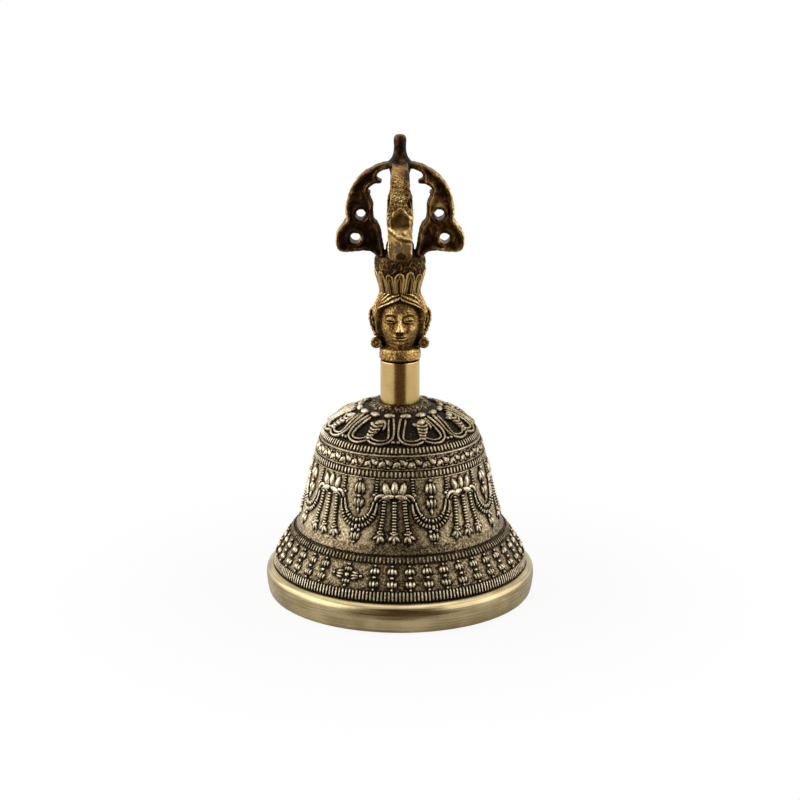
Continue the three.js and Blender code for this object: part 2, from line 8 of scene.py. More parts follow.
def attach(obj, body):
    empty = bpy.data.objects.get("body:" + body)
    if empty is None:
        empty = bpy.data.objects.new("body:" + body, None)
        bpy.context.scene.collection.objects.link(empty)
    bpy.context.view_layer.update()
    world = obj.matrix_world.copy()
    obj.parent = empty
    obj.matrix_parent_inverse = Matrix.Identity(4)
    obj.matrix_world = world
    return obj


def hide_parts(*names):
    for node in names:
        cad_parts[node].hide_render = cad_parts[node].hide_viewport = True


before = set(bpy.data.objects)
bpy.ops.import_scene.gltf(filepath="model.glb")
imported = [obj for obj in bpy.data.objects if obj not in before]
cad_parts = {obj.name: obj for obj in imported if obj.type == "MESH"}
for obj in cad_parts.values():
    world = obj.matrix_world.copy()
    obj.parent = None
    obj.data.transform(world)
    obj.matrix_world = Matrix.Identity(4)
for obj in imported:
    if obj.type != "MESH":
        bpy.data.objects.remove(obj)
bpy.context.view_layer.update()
mm = 0.001
fullTurn = math.tau


# curves and meshes

def smoothCurve(points, count):  # even points along a Catmull-Rom curve
    pts = np.asarray(points, float)
    ctrl = np.vstack([2 * pts[0] - pts[1], pts, 2 * pts[-1] - pts[-2]])
    dense = []
    for i in range(1, len(ctrl) - 2):
        p0, p1, p2, p3 = ctrl[i - 1:i + 3]
        t = np.linspace(0, 1, 17)[:-1, None]
        dense.append(0.5 * (2 * p1 + (p2 - p0) * t + (2 * p0 - 5 * p1 + 4 * p2 - p3) * t ** 2
                            + (3 * p1 - p0 - 3 * p2 + p3) * t ** 3))
    dense = np.vstack(dense + [ctrl[-2][None]])
    run = np.concatenate([[0], np.cumsum(np.linalg.norm(np.diff(dense, axis=0), axis=1))])
    at = np.linspace(0, run[-1], count)
    return np.stack([np.interp(at, run, dense[:, k]) for k in range(pts.shape[1])], axis=1)


def smoothStep(low, high, value):
    t = np.clip((value - low) / (high - low), 0, 1)
    return t * t * (3 - 2 * t)


def hump(distance, width):
    return np.exp(-(distance / width) ** 2)


def castNoise(points, size, seed):  # smooth, -1 to 1, with lumps of about that size
    rng = np.random.default_rng(seed)
    waves = rng.normal(size=(24, 3))
    waves *= (fullTurn / size * rng.uniform(0.6, 1.5, 24) / np.linalg.norm(waves, axis=1))[:, None]
    return np.tanh(np.sin(points @ waves.T + rng.uniform(0, fullTurn, 24)).sum(axis=1) / 3)


def anglesRound(count):
    return np.arange(count) * fullTurn / count


def gridFaces(rows, sides, closed, base=0):  # between rings of points, with caps where the grid is open
    faces = []
    for i in range(rows if closed else rows - 1):
        k = (i + 1) % rows
        for j in range(sides):
            n = (j + 1) % sides
            faces.append([base + v for v in (i * sides + j, i * sides + n, k * sides + n, k * sides + j)])
    if not closed:
        faces.append([base + j for j in reversed(range(sides))])
        faces.append([base + (rows - 1) * sides + j for j in range(sides)])
    return faces


def makeObject(name, verts, faces):  # vertices in mm
    mesh = bpy.data.meshes.new(name)
    mesh.from_pydata((np.asarray(verts, float) * mm).tolist(), [], [tuple(map(int, f)) for f in faces])
    obj = bpy.data.objects.new(name, mesh)
    bpy.context.collection.objects.link(obj)
    return obj


def pointsOf(mesh, unit=mm):
    co = np.empty(len(mesh.vertices) * 3)
    mesh.vertices.foreach_get("co", co)
    return co.reshape(-1, 3) / unit


def movePoints(mesh, co):
    mesh.vertices.foreach_set("co", (co * mm).ravel())


def wearAndPaintedLightOf(mesh):
    level = np.full(len(mesh.vertices), 0.5, np.float32)
    if "worn" in mesh.attributes:
        mesh.attributes["worn"].data.foreach_get("value", level)
    return level


def setWearAndPaintedLight(mesh, values):  # 0 in the hollows, 1 where it is rubbed bright; painted highlight and painted shade are added into it too
    attribute = mesh.attributes.get("worn") or mesh.attributes.new("worn", "FLOAT", "POINT")
    attribute.data.foreach_set("value", np.clip(values, 0, 1).astype(np.float32))


def cleaned(obj, angle=None):  # merge doubles, turn the faces outwards
    bm = bmesh.new()
    bm.from_mesh(obj.data)
    bmesh.ops.remove_doubles(bm, verts=bm.verts, dist=1e-7)
    bmesh.ops.recalc_face_normals(bm, faces=bm.faces)
    bm.to_mesh(obj.data)
    bm.free()
    obj.data.polygons.foreach_set("use_smooth", [True] * len(obj.data.polygons))
    if angle:
        obj.data.set_sharp_from_angle(angle=math.radians(angle))
    return obj


def joinAll(name, objects):  # keeps the wear and painted light of each part
    verts, faces, worn, base = [], [], [], 0
    for obj in objects:
        verts.append(pointsOf(obj.data))
        faces += [[v + base for v in p.vertices] for p in obj.data.polygons]
        worn.append(wearAndPaintedLightOf(obj.data))
        base += len(verts[-1])
        bpy.data.objects.remove(obj)
    made = makeObject(name, np.vstack(verts), faces)
    setWearAndPaintedLight(made.data, np.concatenate(worn))
    return made


def turnedGrid(profile, segments, closed=True):  # one ring of points for each point of the profile
    profile = np.asarray(profile, float)
    a = anglesRound(segments)
    rings = np.stack([profile[:, :1] * np.sin(a), -profile[:, :1] * np.cos(a),
                      np.repeat(profile[:, 1:2], segments, axis=1)], axis=2)
    return rings.reshape(-1, 3), gridFaces(len(profile), segments, closed)


def turned(name, profile, segments, closed=True):  # as on a lathe
    return makeObject(name, *turnedGrid(profile, segments, closed))


def swept(name, path, radius, sides, closed=False):  # a round wire along a path
    path = np.asarray(path, float)
    tangent = np.roll(path, -1, axis=0) - np.roll(path, 1, axis=0)
    if not closed:
        tangent[0], tangent[-1] = path[1] - path[0], path[-1] - path[-2]
    tangent /= np.linalg.norm(tangent, axis=1)[:, None]
    up = np.cross(tangent[0], [0.31, 0.91, 0.27])
    verts = []
    for p, t in zip(path, tangent):
        up = up - t * np.dot(up, t)
        up /= np.linalg.norm(up)
        side = np.cross(t, up)
        verts += [p + radius * (math.cos(x) * up + math.sin(x) * side) for x in anglesRound(sides)]
    return makeObject(name, verts, gridFaces(len(path), sides, closed))


# node trees

castGrain = {"Scale": 620.0, "Detail": 2.0, "Roughness": 0.65}  # how fine the unevenness of a casting is


def newTree(name, inputs):
    tree = bpy.data.node_groups.new(name, "GeometryNodeTree")
    tree.interface.new_socket("Geometry", in_out="INPUT", socket_type="NodeSocketGeometry")
    for label, kind in inputs:
        tree.interface.new_socket(label, in_out="INPUT", socket_type="NodeSocket" + kind)
    tree.interface.new_socket("Geometry", in_out="OUTPUT", socket_type="NodeSocketGeometry")
    return tree, tree.nodes.new("NodeGroupInput"), tree.nodes.new("NodeGroupOutput")


def addNode(tree, kind, wires=None, **settings):  # wires: input name or number -> value or socket
    node = tree.nodes.new(kind)
    for key, value in settings.items():
        setattr(node, key, value)
    for key, value in (wires or {}).items():
        if isinstance(value, bpy.types.NodeSocket):
            tree.links.new(value, node.inputs[key])
        else:
            node.inputs[key].default_value = value
    return node


def buildTurnTree():  # copies a motif round the axis, each copy a little uneven as in a casting
    tree, given, result = newTree("turnRound", [("Count", "Int"), ("Start turn", "Float"), ("Sweep", "Float"),
                                                ("Unevenness", "Float"), ("Seed", "Float"),
                                                ("Material", "Material")])
    points = addNode(tree, "GeometryNodePoints", {"Count": given.outputs["Count"]})
    index = addNode(tree, "GeometryNodeInputIndex")
    step = addNode(tree, "ShaderNodeMath", {0: given.outputs["Sweep"], 1: given.outputs["Count"]},
                   operation="DIVIDE")
    turn = addNode(tree, "ShaderNodeMath", {0: index.outputs[0], 1: step.outputs[0],
                                            2: given.outputs["Start turn"]}, operation="MULTIPLY_ADD")
    euler = addNode(tree, "ShaderNodeCombineXYZ", {"Z": turn.outputs[0]})
    rotation = addNode(tree, "FunctionNodeEulerToRotation", {0: euler.outputs[0]})
    copies = addNode(tree, "GeometryNodeInstanceOnPoints",
                     {"Points": points.outputs[0], "Instance": given.outputs["Geometry"],
                      "Rotation": rotation.outputs[0]})
    real = addNode(tree, "GeometryNodeRealizeInstances", {0: copies.outputs[0]})
    place = addNode(tree, "GeometryNodeInputPosition")
    noise = addNode(tree, "ShaderNodeTexNoise", {"Vector": place.outputs[0], "W": given.outputs["Seed"],
                                                 **castGrain}, noise_dimensions="4D")
    centred = addNode(tree, "ShaderNodeVectorMath", {0: noise.outputs["Color"], 1: (0.5, 0.5, 0.5)},
                      operation="SUBTRACT")
    offset = addNode(tree, "ShaderNodeVectorMath",
                     {0: centred.outputs[0], "Scale": given.outputs["Unevenness"]}, operation="SCALE")
    moved = addNode(tree, "GeometryNodeSetPosition",
                    {"Geometry": real.outputs[0], "Offset": offset.outputs[0]})
    painted = addNode(tree, "GeometryNodeSetMaterial", {"Geometry": moved.outputs[0],
                                                        "Material": given.outputs["Material"]})
    tree.links.new(painted.outputs[0], result.inputs[0])
    return tree


def buildBeadTree():  # threads a bead along a curve
    tree, given, result = newTree("beadRun", [("Spacing", "Float"), ("Bead", "Object"),
                                              ("Size", "Float"), ("Material", "Material")])
    points = addNode(tree, "GeometryNodeCurveToPoints", {"Curve": given.outputs["Geometry"],
                                                         "Length": given.outputs["Spacing"]}, mode="LENGTH")
    bead = addNode(tree, "GeometryNodeObjectInfo", {"Object": given.outputs["Bead"]})
    copies = addNode(tree, "GeometryNodeInstanceOnPoints",
                     {"Points": points.outputs["Points"], "Instance": bead.outputs["Geometry"],
                      "Rotation": points.outputs["Rotation"], "Scale": given.outputs["Size"]})
    real = addNode(tree, "GeometryNodeRealizeInstances", {0: copies.outputs[0]})
    painted = addNode(tree, "GeometryNodeSetMaterial", {"Geometry": real.outputs[0],
                                                        "Material": given.outputs["Material"]})
    tree.links.new(painted.outputs[0], result.inputs[0])
    return tree


def runTree(obj, tree, values):  # the result replaces the object's own data
    mod = obj.modifiers.new(tree.name, "NODES")
    mod.node_group = tree
    for item in tree.interface.items_tree:
        if item.item_type == "SOCKET" and item.in_out == "INPUT" and item.name in values:
            mod[item.identifier] = values[item.name]
    graph = bpy.context.evaluated_depsgraph_get()
    mesh = bpy.data.meshes.new_from_object(obj.evaluated_get(graph), depsgraph=graph)
    name = obj.name
    bpy.data.objects.remove(obj)
    mesh.name = name
    result = bpy.data.objects.new(name, mesh)
    bpy.context.collection.objects.link(result)
    return result


turnTree = buildTurnTree()
beadTree = buildBeadTree()


# materials

def newMaterial(name):
    mat = bpy.data.materials.new(name)
    mat.use_nodes = True
    mat.node_tree.nodes.clear()
    out = mat.node_tree.nodes.new("ShaderNodeOutputMaterial")
    shader = mat.node_tree.nodes.new("ShaderNodeBsdfPrincipled")
    mat.node_tree.links.new(shader.outputs[0], out.inputs[0])
    return mat, mat.node_tree, shader


def ramp(tree, fac, stops):
    node = addNode(tree, "ShaderNodeValToRGB", {0: fac})
    band = node.color_ramp
    while len(band.elements) < len(stops):
        band.elements.new(0.5)
    for element, (at, color) in zip(band.elements, stops):
        element.position = at
        element.color = (*color, 1)
    return node.outputs[0]


def mathNode(tree, operation, a, b=0.0, clamp=False):
    return addNode(tree, "ShaderNodeMath", {0: a, 1: b}, operation=operation, use_clamp=clamp).outputs[0]


def patinated(name, look):  # cast metal: dark patina and painted shade in the hollows, rubbed bright where it stands proud
    mat, tree, shader = newMaterial(name)
    place = addNode(tree, "ShaderNodeTexCoord").outputs["Object"]
    worn = addNode(tree, "ShaderNodeAttribute", attribute_name="worn").outputs["Fac"]
    blotch, grain, skin = (
        addNode(tree, "ShaderNodeTexNoise", {"Vector": place, "Scale": look[size], "Detail": detail})
        for size, detail in (("blotchScale", 4.0), ("grainScale", 3.0), ("skinScale", 3.0)))
    # ambient occlusion darkens the colour in the hollows and under overhangs: patina, and painted shade
    hollowShade = addNode(tree, "ShaderNodeAmbientOcclusion", {"Distance": look["patinaShadeReach"]}, samples=6)
    shift = mathNode(tree, "MULTIPLY", mathNode(tree, "SUBTRACT", blotch.outputs[0], 0.5), look["blotch"])
    speck = mathNode(tree, "MULTIPLY", mathNode(tree, "SUBTRACT", grain.outputs[0], 0.5), look["speckle"])
    level = mathNode(tree, "ADD", mathNode(tree, "ADD", worn, shift), speck)
    hollowShadeFactor = mathNode(tree, "POWER", hollowShade.outputs["AO"], look["patinaShadePower"])
    level = mathNode(tree, "MULTIPLY", level, hollowShadeFactor, clamp=True)
    tree.links.new(ramp(tree, level, look["colors"]), shader.inputs["Base Color"])
    rough = addNode(tree, "ShaderNodeMapRange", {0: level, 3: look["roughDark"], 4: look["roughWorn"]})
    tree.links.new(rough.outputs[0], shader.inputs["Roughness"])
    metal = addNode(tree, "ShaderNodeMapRange", {0: level, 1: 0.0, 2: 0.35, 3: look["metalDark"], 4: 1.0})
    tree.links.new(metal.outputs[0], shader.inputs["Metallic"])
    shader.inputs["Specular IOR Level"].default_value = 0.12
    skinBump = addNode(tree, "ShaderNodeBump", {"Height": skin.outputs[0], "Distance": look["skinDepth"],
                                                "Strength": 1.0})
    bump = addNode(tree, "ShaderNodeBump", {"Height": grain.outputs[0], "Distance": look["grainDepth"],
                                            "Strength": look["grainStrength"], "Normal": skinBump.outputs[0]})
    tree.links.new(bump.outputs[0], shader.inputs["Normal"])
    return mat


def machined(name, look):  # turned or drawn metal with fine lines round the axis
    mat, tree, shader = newMaterial(name)
    place = addNode(tree, "ShaderNodeTexCoord").outputs["Object"]
    stretched = addNode(tree, "ShaderNodeMapping", {"Vector": place, "Scale": look["lines"]})
    lines = addNode(tree, "ShaderNodeTexNoise", {"Vector": stretched.outputs[0], "Scale": 1.0, "Detail": 3.0})
    stain = addNode(tree, "ShaderNodeTexNoise", {"Vector": place, "Scale": look["stainScale"], "Detail": 3.0})
    streak = mathNode(tree, "MULTIPLY", mathNode(tree, "SUBTRACT", lines.outputs[0], 0.5), look["streak"])
    mixed = addNode(tree, "ShaderNodeMapRange", {0: stain.outputs[0], 1: 0.35, 2: 0.7}).outputs[0]
    mixed = mathNode(tree, "ADD", mixed, streak, clamp=True)
    tree.links.new(ramp(tree, mixed, look["colors"]), shader.inputs["Base Color"])
    rough = addNode(tree, "ShaderNodeMapRange", {0: lines.outputs[0], 1: 0.3, 2: 0.7, 3: look["roughLow"],
                                                 4: look["roughHigh"]})
    tree.links.new(rough.outputs[0], shader.inputs["Roughness"])
    shader.inputs["Metallic"].default_value = 1.0
    bump = addNode(tree, "ShaderNodeBump", {"Height": lines.outputs[0], "Distance": look["lineDepth"],
                                            "Strength": 0.6})
    tree.links.new(bump.outputs[0], shader.inputs["Normal"])
    return mat


brassLook = dict(
    blotchScale=180, grainScale=1800, skinScale=520, blotch=0.34, speckle=1.15,
    patinaShadeReach=0.0012, patinaShadePower=1.3,
    colors=[(0.0, (0.006, 0.004, 0.002)), (0.2, (0.033, 0.022, 0.010)), (0.42, (0.22, 0.163, 0.088)),
            (0.7, (0.50, 0.42, 0.275)), (1.0, (0.84, 0.75, 0.57))],
    roughDark=0.6, roughWorn=0.36, metalDark=0.65, grainDepth=0.0002, grainStrength=0.8, skinDepth=0.0002)
bronzeLook = dict(
    blotchScale=230, grainScale=1300, skinScale=480, blotch=0.75, speckle=0.5,
    patinaShadeReach=0.0020, patinaShadePower=1.5,
    colors=[(0.0, (0.008, 0.004, 0.002)), (0.25, (0.060, 0.029, 0.007)), (0.5, (0.24, 0.131, 0.036)),
            (0.78, (0.515, 0.34, 0.122)), (1.0, (0.77, 0.575, 0.27))],
    roughDark=0.5, roughWorn=0.34, metalDark=0.65, grainDepth=0.00014, grainStrength=0.7, skinDepth=0.0004)
vajraLook = dict(
    blotchScale=190, grainScale=1100, skinScale=430, blotch=0.85, speckle=0.45,
    patinaShadeReach=0.0020, patinaShadePower=1.0,
    colors=[(0.0, (0.007, 0.004, 0.002)), (0.28, (0.05, 0.024, 0.008)), (0.55, (0.21, 0.110, 0.033)),
            (0.8, (0.485, 0.33, 0.122)), (1.0, (0.78, 0.59, 0.28))],
    roughDark=0.48, roughWorn=0.34, metalDark=0.65, grainDepth=0.00014, grainStrength=0.7, skinDepth=0.0004)
gripLook = dict(
    streak=0.5, lines=(260, 260, 5200), stainScale=120, lineDepth=0.000003, roughLow=0.2, roughHigh=0.28,
    colors=[(0.0, (0.50, 0.345, 0.135)), (1.0, (0.62, 0.44, 0.18))])
lipLook = dict(
    streak=3.0, lines=(60, 60, 2600), stainScale=90, lineDepth=0.000018, roughLow=0.2, roughHigh=0.38,
    colors=[(0.0, (0.35, 0.27, 0.14)), (1.0, (0.57, 0.46, 0.25))])
insideLook = dict(
    streak=1.0, lines=(150, 150, 1500), stainScale=70, lineDepth=0.00002, roughLow=0.45, roughHigh=0.6,
    colors=[(0.0, (0.16, 0.11, 0.05)), (1.0, (0.27, 0.20, 0.10))])
steelLook = dict(
    streak=0.6, lines=(900, 900, 2600), stainScale=150, lineDepth=0.000008, roughLow=0.28, roughHigh=0.42,
    colors=[(0.0, (0.30, 0.30, 0.30)), (1.0, (0.46, 0.46, 0.45))])
ironLook = dict(
    streak=0.6, lines=(420, 420, 2600), stainScale=120, lineDepth=0.00001, roughLow=0.42, roughHigh=0.6,
    colors=[(0.0, (0.045, 0.04, 0.037)), (1.0, (0.12, 0.11, 0.10))])

bellBrass = patinated("bell brass, patinated", brassLook)
handleBronze = patinated("handle bronze", bronzeLook)
vajraBronze = patinated("vajra bronze", vajraLook)
gripBrass = machined("grip tube brass", gripLook)
lipBrass = machined("lip brass, satin", lipLook)
insideBrass = machined("inner wall brass", insideLook)
plainSteel = machined("plain steel", steelLook)
darkIron = machined("striker iron", ironLook)


def dress(obj, material, body, slot, *nodes):  # finish, body, slot and the CAD node it stands for; slot is not used
    if material:
        obj.data.materials.clear()
        obj.data.materials.append(material)
    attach(obj, body)
    if nodes:
        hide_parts(*nodes)
    return obj


# bell: wall and lip

bell = dict(
    segments=288,
    lip=[(43.3, 0.0), (43.95, 0.28), (44.35, 1.3), (44.7, 3.2), (44.93, 5.4), (44.9, 7.1), (44.6, 8.2),
         (44.0, 8.85), (43.2, 9.25), (42.75, 9.45)],
    ground=[(42.4, 9.7), (42.2, 10.3), (41.1, 13.5), (39.5, 16.2), (37.75, 18.9), (35.85, 21.6),
            (34.85, 22.9), (34.25, 24.3), (33.75, 25.65), (33.3, 27.0), (32.4, 29.7), (31.95, 31.2),
            (31.2, 33.75), (30.5, 36.45), (29.95, 39.15), (29.4, 41.85), (28.75, 44.55), (28.0, 47.25),
            (27.3, 49.95), (26.4, 52.65), (25.8, 54.2), (24.8, 55.6), (23.5, 56.8), (21.9, 58.05),
            (20.1, 59.4), (17.6, 60.75), (14.2, 62.1), (11.4, 63.0)],
    collar=[(10.6, 63.3), (9.9, 63.45), (9.55, 63.8), (9.35, 64.3), (8.8, 64.65), (7.9, 64.75), (7.1, 64.6),
            (6.8, 64.3), (5.2, 64.3), (5.1, 64.45), (5.1, 65.6), (4.9, 65.8), (2.3, 65.8), (2.3, 59.9)],
    inside=[(7.8, 59.9), (12.6, 59.35), (17.2, 58.1), (20.4, 56.3), (22.6, 54.2), (23.75, 52.4), (24.6, 49.6),
            (25.5, 46.5), (26.3, 43.4), (27.05, 40.0), (28.0, 36.0), (28.95, 31.8), (29.9, 28.3),
            (31.0, 24.9), (32.6, 21.4), (34.45, 18.0), (36.1, 15.0), (37.6, 12.0), (38.9, 9.0), (39.9, 6.0),
            (40.3, 3.0), (40.4, 0.8), (40.9, 0.0)],
    groove=[(42.5, 9.5), (42.3, 9.56)],
    # height, width and rise of each ridge
    ridges=[(22.7, 0.17, -0.3), (46.15, 0.22, 0.32), (49.0, 0.2, 0.28), (53.2, 0.32, 0.42)],
    patternTurn=-3.4,  # degrees
    collarUneven=(0.022, 0.16))  # share of the radius, mm of height

wall = smoothCurve(bell["ground"], 420)  # the ground that the ornament stands on
wallRun = np.concatenate([[0], np.cumsum(np.linalg.norm(np.diff(wall, axis=0), axis=1))])
along = np.gradient(wall, axis=0)
along /= np.linalg.norm(along, axis=1)[:, None]


def runAt(height):  # distance along the wall at a height
    return np.interp(height, wall[:, 1], wallRun)


def wallRadius(run):
    return np.interp(run, wallRun, wall[:, 0])


def onWall(angle, run, rise):  # angle in radians, distance along the wall, height above it
    r, z = (np.interp(run, wallRun, wall[:, k]) for k in (0, 1))
    dr, dz = (np.interp(run, wallRun, along[:, k]) for k in (0, 1))
    r, z = r + rise * dz, z - rise * dr
    return np.stack([r * np.sin(angle), -r * np.cos(angle), z], axis=-1)


def bellProfile():
    rise = sum(h * hump(wall[:, 1] - z, w) for z, w, h in bell["ridges"])
    outer = wall + rise[:, None] * np.stack([along[:, 1], -along[:, 0]], axis=1)
    keep = np.unique(np.concatenate([np.arange(0, len(wall), 5)] + [
        np.flatnonzero(abs(wall[:, 1] - z) < 2.2 * w) for z, w, _ in bell["ridges"]] + [[len(wall) - 1]]))
    return np.vstack([smoothCurve(bell["lip"], 22), bell["groove"], outer[keep], bell["collar"],
                      smoothCurve(bell["inside"], 60)])


shell = turned("bell_casting", bellProfile(), bell["segments"])
print("bell wall made")


# ornament on the wall

# share of the outline and of the rise, from the foot up
roundLevels = ((1, -0.3), (1, 0.25), (0.82, 0.72), (0.45, 0.96), (0.1, 1))
leafLevels = ((1, -0.3), (1, 0.15), (0.72, 0.5), (0.38, 0.82), (0.08, 1))  # a leaf with a sharp back
toothLevels = ((1, -0.4), (1, 0.45), (0.72, 0.95), (0.3, 1))
railSection = [(-0.5, -0.35), (-0.5, 0.15), (-0.3, 0.8), (0, 1), (0.3, 0.8), (0.5, 0.15), (0.5, -0.35)]


class Relief:  # raised shapes, each closed, drawn in degrees round the axis and mm of height
    def __init__(self):
        self.verts, self.faces, self.count = [], [], 0

    def add(self, rings):  # rings of points across; the ends are capped
        rows, sides = rings.shape[:2]
        self.verts.append(rings.reshape(-1, 3))
        self.faces += gridFaces(rows, sides, False, self.count)
        self.count += rows * sides

    def dome(self, angle, height, outline, rise, levels=roundLevels):
        run0 = runAt(height)
        r0 = wallRadius(run0)
        outline = np.asarray(outline, float)
        rings = []
        for scale, lift in levels:
            u, v = outline[:, 0] * scale, outline[:, 1] * scale
            rings.append(onWall(math.radians(angle) + u / r0, run0 + v, np.full(len(u), rise * lift)))
        self.add(np.stack(rings))

    def rail(self, path, width, rise, taper=0.8, step=0.6):
        pts = np.asarray(path, float)
        flat = np.stack([np.radians(pts[:, 0]) * wallRadius(runAt(pts[:, 1])), runAt(pts[:, 1])], axis=1)
        length = np.sum(np.linalg.norm(np.diff(flat, axis=0), axis=1))
        pts = smoothCurve(pts, max(4, int(length / step)))
        run = runAt(pts[:, 1])
        radius = wallRadius(run)
        angle = np.radians(pts[:, 0])
        du, dv = np.gradient(angle) * radius, np.gradient(run)
        norm = np.hypot(du, dv)
        share = np.linspace(0, 1, len(pts))
        thin = np.clip(np.minimum(share, 1 - share) * length / taper, 0, 1)
        thin = np.sqrt(np.clip(thin * (2 - thin), 0.04, 1))
        rings = []
        for across, lift in railSection:
            off = across * width * thin
            lift = lift * np.where(lift > 0, 0.35 + 0.65 * thin, 1)
            rings.append(onWall(angle - off * dv / norm / radius, run + off * du / norm, rise * lift))
        self.add(np.stack(rings, axis=1))

    def bead(self, angle, height, width, tall, rise, sides=10):
        self.dome(angle, height, ellipse(width, tall, sides), rise)

    def object(self, name):
        return cleaned(makeObject(name, np.vstack(self.verts), self.faces))


def ellipse(width, tall, sides=10):
    a = anglesRound(sides)
    return np.stack([width / 2 * np.cos(a), tall / 2 * np.sin(a)], axis=1)


def almond(width, tall, tilt=0.0):
    a = anglesRound(14)
    x, y = width / 2 * np.sin(a) * np.abs(np.sin(a)) ** 0.35, tall / 2 * np.cos(a)
    c, s = math.cos(math.radians(tilt)), math.sin(math.radians(tilt))
    return np.stack([x * c - y * s, x * s + y * c], axis=1)


# a bud of three lobes that points along aim, with a bead on its tip
def budShape(relief, angle, height, aim, start, length, width, rise, endBead=0.8):
    run0 = runAt(height)
    r0 = wallRadius(run0)
    c, s = math.cos(math.radians(aim)), math.sin(math.radians(aim))

    def at(u, v):  # u along the bud, v across it
        x, y = u * c - v * s, u * s + v * c
        return (angle + math.degrees(x / r0), np.interp(run0 + y, wallRun, wall[:, 1]))
    for place, lean, wide, long in ((-0.3, 11, 0.42, 0.92), (0.3, -11, 0.42, 0.92), (0.0, 0, 0.4, 1.0)):
        middle = at(start + 0.5 * length, place * width)
        relief.dome(middle[0], middle[1], almond(wide * width, long * length, aim - 90 + lean),
                    rise * (0.9 + 0.25 * (lean == 0)), leafLevels)
    if endBead:
        tip = at(start + length + endBead * 0.42, 0)
        relief.bead(tip[0], tip[1], endBead, endBead, rise * 1.1, 8)


def threadBeads(name, path, lift, spacing, bead, size):  # path in degrees and mm, beads by the node tree
    pts = smoothCurve(path, 40)
    place = onWall(np.radians(pts[:, 0]), runAt(pts[:, 1]), np.full(len(pts), lift)) * mm
    curve = bpy.data.curves.new(name, "CURVE")
    curve.dimensions = "3D"
    spline = curve.splines.new("POLY")
    spline.points.add(len(place) - 1)
    spline.points.foreach_set("co", np.hstack([place, np.ones((len(place), 1))]).ravel())
    obj = bpy.data.objects.new(name, curve)
    bpy.context.collection.objects.link(obj)
    return runTree(obj, beadTree, {"Spacing": spacing * mm, "Bead": bead, "Size": size,
                                   "Material": bellBrass})


def ringed(name, motif, count, start, uneven, seed, sweep=360):  # start and sweep in degrees
    motif.name = name
    made = runTree(motif, turnTree, {"Count": count, "Start turn": math.radians(start),
                                     "Sweep": math.radians(sweep), "Unevenness": uneven * mm, "Seed": seed,
                                     "Material": bellBrass})
    made.data.polygons.foreach_set("use_smooth", [True] * len(made.data.polygons))
    return made


def drawMotif(shape, motif, sides=(1,)):  # the leaves, rails and beads of a table, once for each side
    for side in sides:
        for x, z, wide, tall, lean, rise, levels in motif.get("leaves", ()):
            shape.dome(side * x, z, almond(wide, tall, side * lean), rise, levels)
        for path, width, rise, taper in motif.get("rails", ()):
            shape.rail([(side * x, z) for x, z in path], width, rise, taper)
        for x, z, wide, tall, rise, corners in motif.get("beads", ()):
            shape.bead(side * x, z, wide, tall, rise, corners)


bead = dict(halfWide=0.8, halfTall=0.37, pole=0.14, rings=6, sides=10)  # of the strings

beadTurn = np.linspace(bead["pole"], math.pi - bead["pole"], bead["rings"])
beadProfile = np.stack([bead["halfWide"] * np.sin(beadTurn), -bead["halfTall"] * np.cos(beadTurn)], axis=1)
beadShape = cleaned(turned("beadShape", beadProfile, bead["sides"], closed=False))

teeth = dict(
    rows=[dict(foot=9.8, top=13.0, count=224, rise=0.55), dict(foot=20.55, top=22.35, count=180, rise=0.4),
          dict(foot=46.55, top=48.65, count=132, rise=0.5), dict(foot=53.85, top=55.7, count=126, rise=0.5)],
    share=0.48, corner=0.3, uneven=0.24)  # share: width of a tooth in its step

ornament = []
for i, row in enumerate(teeth["rows"]):
    middle = (row["foot"] + row["top"]) / 2
    halfTall = (runAt(row["top"]) - runAt(row["foot"])) / 2
    halfWide = fullTurn / row["count"] * wallRadius(runAt(middle)) * teeth["share"] / 2
    corner = 2 * teeth["corner"] * halfWide
    outline = [(sx * (halfWide - dx), sy * (halfTall - dy)) for sx, sy, steps in (
        (1, 1, ((0, corner), (corner, 0))), (-1, 1, ((corner, 0), (0, corner))),
        (-1, -1, ((0, corner), (corner, 0))), (1, -1, ((corner, 0), (0, corner)))) for dx, dy in steps]
    tooth = Relief()
    tooth.dome(0, middle, outline, row["rise"], toothLevels)
    ornament.append(ringed(f"bell_teeth_{i + 1}", tooth.object("tooth"), row["count"], 0, teeth["uneven"],
                           i + 1.0))
print("teeth made")

fence = dict(
    middle=16.65, pitch=8.333, start=0.75, bud=2.75, width=3.3, rise=0.75, uneven=0.26,
    crossAt=-25.3, gap=13.3, crossArms=[(0, 3.3), (90, 2.0), (180, 3.3), (-90, 2.0)], crossWidth=2.9,
    crossRise=0.8, crossStart=1.0, crossTip=0.95, knot=(1.3, 0.9, 0.8), crossKnot=(1.5, 1.5, 1.0, 12))


def fenceVajra():
    shape = Relief()
    for aim in (90, -90):
        budShape(shape, 0, fence["middle"], aim, fence["start"], fence["bud"], fence["width"], fence["rise"])
    shape.bead(0, fence["middle"], *fence["knot"])
    return shape.object("fenceVajra")


def crossedVajra():
    shape = Relief()
    for aim, length in fence["crossArms"]:
        budShape(shape, 0, fence["middle"], aim, fence["crossStart"], length, fence["crossWidth"],
                 fence["crossRise"], fence["crossTip"])
    shape.bead(0, fence["middle"], *fence["crossKnot"])
    return shape.object("crossedVajra")


# the row runs round the skirt and leaves out the place of the crossed pair
rowSweep = 360 - 2 * fence["gap"]
rowSteps = round(rowSweep / fence["pitch"])
row = ringed("fenceRow", fenceVajra(), rowSteps + 1, fence["crossAt"] + fence["gap"], 0.0, 8.0,
             rowSweep * (rowSteps + 1) / rowSteps)
cross = ringed("crossedPair", crossedVajra(), 1, fence["crossAt"], 0.0, 8.0)
ornament.append(ringed("bell_fence", cleaned(joinAll("fence", [row, cross])), 1, 0, fence["uneven"], 8.0))
print("fence made")

